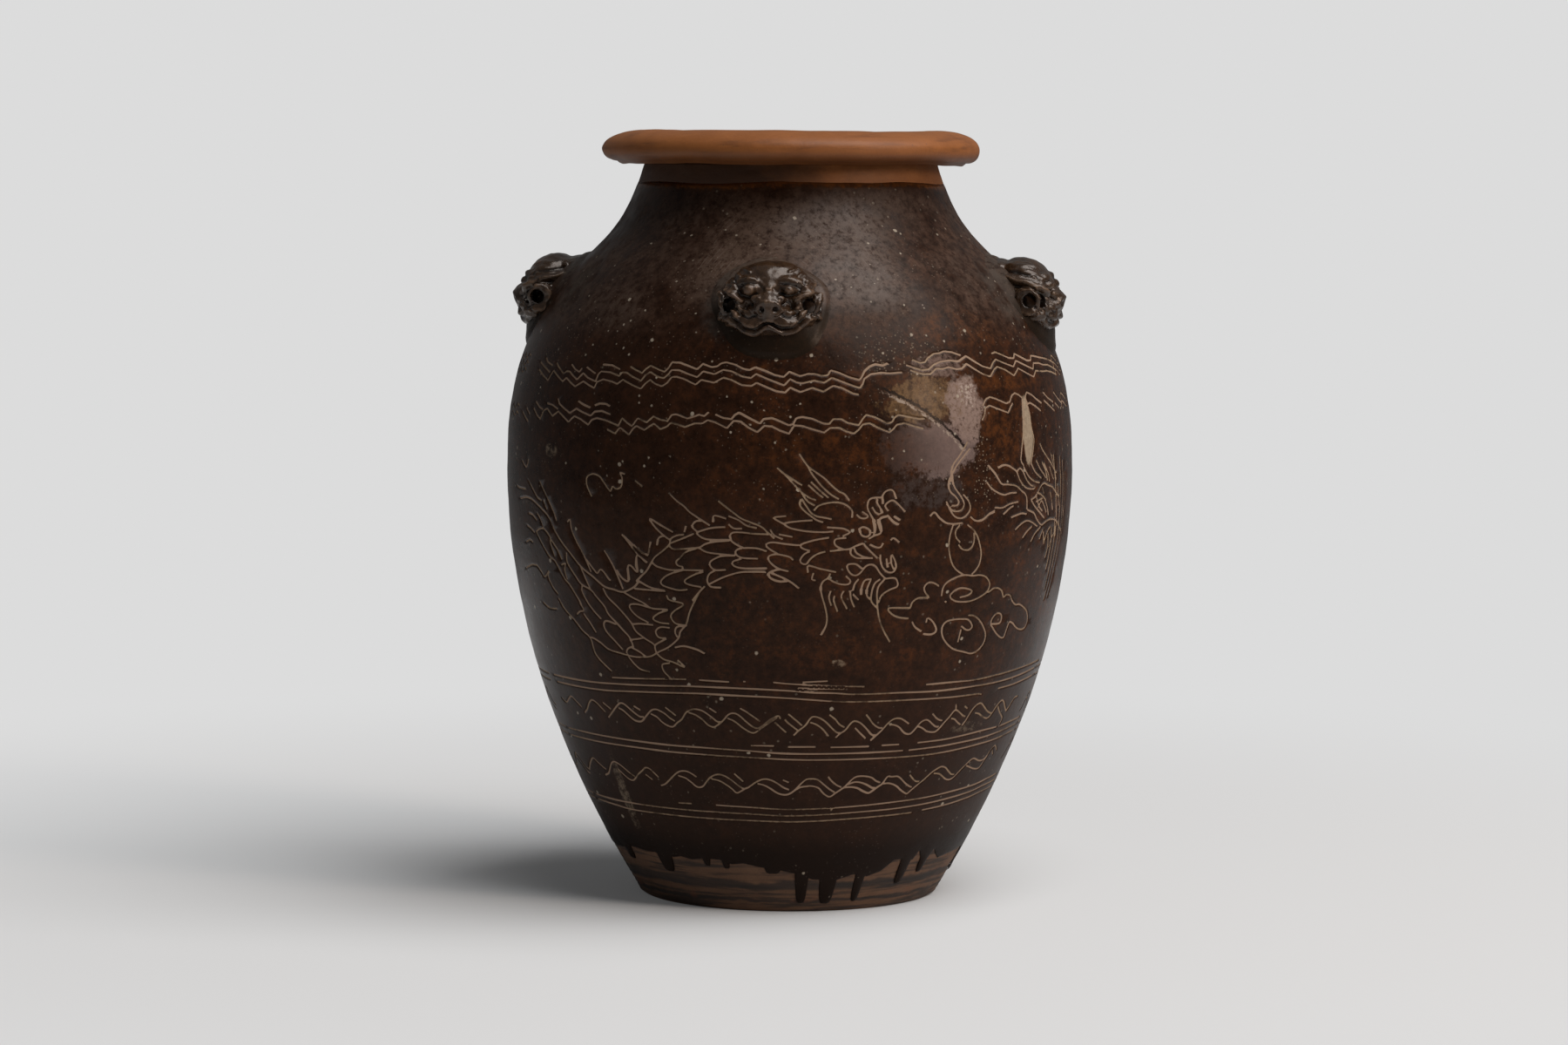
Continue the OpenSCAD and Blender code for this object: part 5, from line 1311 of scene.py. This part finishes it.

# %% [markdown]
# Finishes
#
# The glaze is an iron-brown one, nearly black where it is thick, amber where it is thin, and milky
# grey in patches over the upper shoulder. Its shine comes from the shader's own low roughness and a
# thin coat, and a warm painted sheen lightens the colour of the front shoulder; the grooves show bare
# clay, broken where glaze ran back in. The foot is dull clay with dark turning streaks, and the rim
# fired orange and was rubbed by hands; painted shade darkens the rim's underside and the neck's left side.

# %% Brown glaze
def turn_of(finish):
    """Degrees round the jar from the front."""
    across = finish.node("ShaderNodeMath", {"operation": "ARCTAN2"}, {0: finish.x, 1: 0 - finish.y})
    return across * (180 / math.pi)


def glaze_finish(name, mound_painted_light_and_shade=False):
    """Glaze from its thick dark ground to its marks, as it lies over the wall and the mounds; on a mound the lower half
    gets painted shade and the upper half a painted highlight.
    """
    gloss = Finish(name, Specular_IOR_Level=0.11, Specular_Tint=(1.0, 0.84, 0.74, 1), Coat_Roughness=0.3, Coat_IOR=1.42)
    turn, z = turn_of(gloss), gloss.z
    grit, fine, mid, wide = gloss.noise(0.9, 3), gloss.noise(2.6, 5, 0.65), gloss.noise(13, 5, 0.6), gloss.noise(70, 3)
    streak, mottle = gloss.noise(7, 4, place=gloss.stretched(1, 1, 0.14)), gloss.noise(4.5, 5, 0.75)
    ragged = (mid - 0.5) * 3.2 + (fine - 0.5) * 1.8

    def patch(middle, size, edge=0.5):
        """1 inside an oval of half sizes (degrees, mm) with a ragged outline, 0 outside."""
        a, h = (turn - middle[0]) / size[0], (z - middle[1]) / size[1]
        return (a * a + h * h + ragged).step(1 + edge, 1 - edge)

    thick = (mid * 0.8 + wide * 0.5 + (mottle - 0.5) * 1.1 - 0.25).clamp()
    colour = gloss.mix((0.0065, 0.0024, 0.0012), (0.046, 0.0185, 0.0092), thick)
    warm_side = turn.band(-5, 75, 25) * z.band(180, 440, 40)
    red = (streak.step(0.42, 0.8) * 0.3 + mid.step(0.42, 0.7) * 0.6) * (0.2 + 0.6 * warm_side)
    colour = gloss.mix(colour, (0.082, 0.024, 0.006), red * mottle.step(0.40, 0.62))
    grey = (wide * 0.6 + mid * 0.5).step(0.42, 0.75) * z.band(400, 470, 22)
    colour = gloss.mix(colour, (0.066, 0.046, 0.035), grey * mottle.step(0.35, 0.6) * 0.8)
    # Painted sheen: a warm, lighter patch in the colour of the front shoulder; the same mask sets the coat's real gloss
    # there.
    sheen = turn.band(-14, 20, 16) * z.band(415, 462, 18) * mottle.step(0.3, 0.6)
    colour = gloss.mix(colour, (0.105, 0.066, 0.046), sheen * 0.45)
    matte_ring = patch((-15, 404), (5, 20)).most(patch((-66, 415), (6, 15))).most(patch((63, 412), (7, 20)))
    colour = gloss.mix(colour, (0.050, 0.040, 0.033), matte_ring * mid.step(0.35, 0.6) * 0.7)
    low_brown = z.step(200, 60) * (0.3 + 0.5 * wide)
    colour = gloss.mix(colour, (0.017, 0.0078, 0.0045), low_brown)
    amber = patch((50, 356), (13, 6)).most(patch((48, 322), (8, 24))).most(patch((40, 391), (12, 12)))
    amber = amber.most(patch((6, 315), (16, 12)) * 0.6)
    colour = gloss.mix(colour, (0.092, 0.029, 0.007), amber * (0.1 + 0.6 * mottle.step(0.38, 0.66)) * mid.step(0.35, 0.6))
    scar = patch((28, 314), (10, 18), 0.25)
    rubble = patch((28, 288), (8, 12), 0.4)
    colour = gloss.mix(colour, (0.048, 0.035, 0.031), rubble * mottle.step(0.38, 0.58) * 0.8)
    colour = gloss.mix(colour, (0.185, 0.128, 0.112), scar * (0.45 + 0.6 * mottle) * (0.15 + 0.85 * turn.step(18, 35)))
    tan_scar = patch((27.5, 347), (9, 15), 0.3)
    colour = gloss.mix(colour, (0.135, 0.075, 0.033), tan_scar * (0.1 + 0.9 * mottle.step(0.3, 0.65)))
    pale_scar = patch((37, 342), (4.5, 21), 0.3)
    colour = gloss.mix(colour, (0.22, 0.150, 0.122), pale_scar * (0.25 + 0.75 * fine.step(0.3, 0.55)))
    colour = gloss.mix(colour, (0.16, 0.105, 0.085), patch((32, 367), (6, 7), 0.4) * mottle.step(0.35, 0.6) * 0.8)
    crumbs = patch((38.5, 351), (2.5, 10)) * fine.step(0.5, 0.62)
    colour = gloss.mix(colour, (0.40, 0.32, 0.27), crumbs * 0.75)
    from_left = turn - 19
    crack = z - 353 + from_left * 1.2 + from_left * from_left * 0.058 + (mottle - 0.5) * 9
    along_crack = turn.band(19, 36, 1)
    below = crack + 2.6
    colour = gloss.mix(colour, (0.30, 0.23, 0.18), (below * below).step(2.2, 0.4) * along_crack * mottle.step(0.42, 0.56))
    colour = gloss.mix(colour, (0.006, 0.003, 0.002), (crack * crack).step(2.2, 0.5) * along_crack * 0.95)
    near_end = gloss.painted("from_edge")
    neck_edge = (near_end + (mottle - 0.5) * 12).step(6, 1) * z.step(470, 478)
    colour = gloss.mix(colour, (0.17, 0.058, 0.015), neck_edge * 0.85)
    colour = gloss.mix(colour, (0.006, 0.0026, 0.0014), z.step(62, 40) * 0.85)
    leaf_a, leaf_h = (turn - 55) / 1.75, (z - 323) / 23
    leaf = (leaf_a * leaf_a + leaf_h * leaf_h + (fine - 0.5) * 0.6).step(1.1, 0.8)
    dotted = gloss.cells(2.4).step(0.30, 0.16) * patch((41, 297), (2.2, 26)).most(patch((24, 372), (9, 14)) * 0.6)
    smudge = patch((-50, 76), (1.8, 24)).most(patch((10.5, 175), (1.6, 2.6))).most(patch((-55, 308), (2, 4)))
    smudge = smudge.most(patch((47, 126), (5, 3)) * 0.5) * mottle.step(0.42, 0.6)
    colour = gloss.mix(colour, (0.34, 0.26, 0.18), leaf.most(dotted * 0.7).most(smudge * 0.5) * (0.35 + 0.9 * fine).clamp())
    across, up = (turn + 4.5) * 2.9, z - 407
    ring = (across * across + up * up)**0.5 * 1.7 + wide * 26
    scratch = ring.math("SINE", ring).step(0.86, 0.98) * mid.step(0.48, 0.62) * turn.band(-22, 22, 8) * z.step(418, 430)
    colour = gloss.mix(colour, (0.13, 0.10, 0.08), scratch * z.step(466, 456) * 0.5)
    crowded = 0.3 + 0.7 * z.band(300, 440, 30)
    dust = (gloss.cells(3.0) + (grit - 0.5) * 0.3).step(0.19, 0.08) * gloss.noise(30, 3).step(0.42, 0.6)
    specks = (gloss.cells(7.5) + (fine - 0.5) * 0.22 + (grit - 0.5) * 0.1).step(0.14, 0.07) * gloss.noise(40, 2).step(0.44, 0.56)
    flecks = (gloss.cells(23.0) + (fine - 0.5) * 0.08 + (grit - 0.5) * 0.03).step(0.07, 0.045)
    colour = gloss.mix(colour, (0.20, 0.15, 0.11), dust * 0.5 * crowded)
    colour = gloss.mix(colour, (0.36, 0.30, 0.23), (specks * crowded).most(flecks) * 0.8)
    thin_line = z.band(146, 164, 1).most(z.band(105, 122, 1)).most(z.step(80, 78))
    groove = (gloss.painted("cut") + (fine - 0.5) * 0.6 + 0.08 * thin_line).step(0.72, 0.42)
    worn = groove * (gloss.noise(12, 4).step(0.3, 0.46) * 0.7 + 0.3)
    line_colour = gloss.mix((0.13, 0.076, 0.042), (0.44, 0.32, 0.215), (fine * 0.8 + mid * 0.6 - 0.2).clamp())
    colour = gloss.mix(colour, line_colour, worn)
    # Painted shade on the mound's lower half and a painted highlight on its upper half.
    if mound_painted_light_and_shade:
        colour = gloss.mix(colour, (0.013, 0.009, 0.0055), z.step(412, 400) * 0.8)
        colour = gloss.mix(colour, (0.060, 0.047, 0.037), z.step(405, 425) * mottle.step(0.3, 0.6) * 0.6)
    dull = 0.3 * grey + 0.25 * matte_ring + 0.25 * pale_scar + 0.4 * worn + 0.35 * low_brown + 0.3 * leaf
    gloss.feed(Base_Color=colour, Roughness=(0.18 + 0.22 * (fine * 0.4 + mid * 0.6) + dull).clamp(),
               Coat_Weight=0.28 * sheen)
    relief = gloss.noise(5, 4) * 0.6 + fine * 0.25 + grit * 0.06 + pale_scar * fine * 0.8
    gloss.bump(relief, 0.45, 0.45)
    return gloss


gloss = glaze_finish("brown_glaze")
dress(glaze, gloss)

# %% Bare clay
bare = Finish("bare_clay", Roughness=0.85)
grain, cloud, lines = bare.noise(1.4, 4), bare.noise(26, 4), bare.noise(3, 4, place=bare.stretched(0.06, 0.06, 1))
low = bare.z.step(60, 45)
colour = bare.mix((0.20, 0.125, 0.080), (0.33, 0.22, 0.145), (cloud * 0.7 + grain * 0.4 - 0.05).clamp())
foot = bare.mix((0.060, 0.026, 0.012), (0.150, 0.076, 0.039), (cloud * 0.9 + grain * 0.5 - 0.2).clamp())
foot = bare.mix(foot, (0.016, 0.010, 0.007), lines.step(0.44, 0.62) * 0.85)
smear = bare.z + (cloud - 0.5) * 9
foot = bare.mix(foot, (0.014, 0.009, 0.007), (smear.band(17, 20.5, 2.2).most(smear.band(7.5, 8.5, 1.5))) * 0.8)
foot = bare.mix(foot, (0.12, 0.035, 0.014), cloud.step(0.55, 0.7) * smear.band(9, 13, 2) * 0.7)
colour = bare.mix(colour, foot, low)
bare.feed(Base_Color=colour)
bare.bump(lines * 0.6 + grain * 0.4, 0.5, 0.6)
dress(wall, bare)

neck_clay = Finish("neck_clay", Roughness=0.62)
grain, cloud = neck_clay.noise(2.5, 4), neck_clay.noise(24, 3)
colour = neck_clay.mix((0.140, 0.046, 0.010), (0.36, 0.128, 0.030), (cloud * 0.8 + grain * 0.4 - 0.1).clamp())
# Painted shade: the neck's left side, away from the lamps, is painted near black.
left_painted_shade = (neck_clay.x + (cloud - 0.5) * 60).step(40, -30) * 0.85
neck_clay.feed(Base_Color=neck_clay.mix(colour, (0.014, 0.006, 0.0025), left_painted_shade))
neck_clay.bump(grain, 0.4, 0.5)
dress(neck, neck_clay)

# %% Orange rim
orange = Finish("rim_clay", Roughness=0.5, Specular_IOR_Level=0.3)
grain, cloud, lines = orange.noise(2, 4), orange.noise(20, 4), orange.noise(4, 4, place=orange.stretched(0.12, 0.12, 1))
colour = orange.mix((0.170, 0.054, 0.012), (0.33, 0.116, 0.031), (cloud * 0.8 + grain * 0.35 - 0.08).clamp())
colour = orange.mix(colour, (0.105, 0.034, 0.011), lines.step(0.5, 0.72) * 0.6)
# Painted shade: the rim below about 506 mm, under the rolled lip, is painted darker.
colour = orange.mix(colour, (0.10, 0.036, 0.014), orange.z.step(506, 500) * 0.6)
pits = orange.cells(6).step(0.10, 0.04) * cloud.step(0.4, 0.6)
colour = orange.mix(colour, (0.09, 0.045, 0.03), pits * 0.8)
orange.feed(Base_Color=colour)
orange.bump(grain * 0.6 + lines * 0.4, 0.5, 0.6)
dress(rim, orange)

# %% Masks and mounds
masks = Finish("lug_clay", Specular_IOR_Level=0.5, Specular_Tint=(1.0, 0.88, 0.8, 1))
grain, cloud, fine = masks.noise(2.0, 4), masks.noise(9, 4), masks.noise(0.8, 3)
raised = masks.painted("raised")
colour = masks.mix((0.010, 0.0045, 0.0025), (0.070, 0.037, 0.018), (cloud * 0.9 + grain * 0.7 - 0.42).clamp())
# Painted shade: recesses and the cord hole are painted near black.
colour = masks.mix(colour, (0.004, 0.0022, 0.0016), raised.step(0.1, -1.2) * 0.9)
worn = raised.step(0.9, 2.4) * (grain * 0.8 + cloud * 0.5).step(0.45, 0.75)
colour = masks.mix(colour, (0.150, 0.088, 0.052), worn * 0.6)
rubbed = masks.x.step(-168, -176) * masks.z.step(424, 431) * cloud.step(0.35, 0.6)
colour = masks.mix(colour, (0.22, 0.080, 0.028), rubbed * 0.8)
colour = masks.mix(colour, (0.30, 0.23, 0.17), masks.cells(3.4).step(0.13, 0.06) * cloud.step(0.5, 0.62) * 0.6)
masks.feed(Base_Color=colour, Roughness=(0.15 + 0.16 * grain + 0.25 * worn + 0.3 * rubbed).clamp())
masks.bump(grain * 0.5 + fine * 0.25, 0.6, 0.5)
# The mounds' glaze carries painted shade below and a painted highlight above.
mounds = glaze_finish("mound_clay", mound_painted_light_and_shade=True)
for side in LUG_TURNS:
    dress(lugs[side], masks)
    dress(mound_pieces[side], mounds)
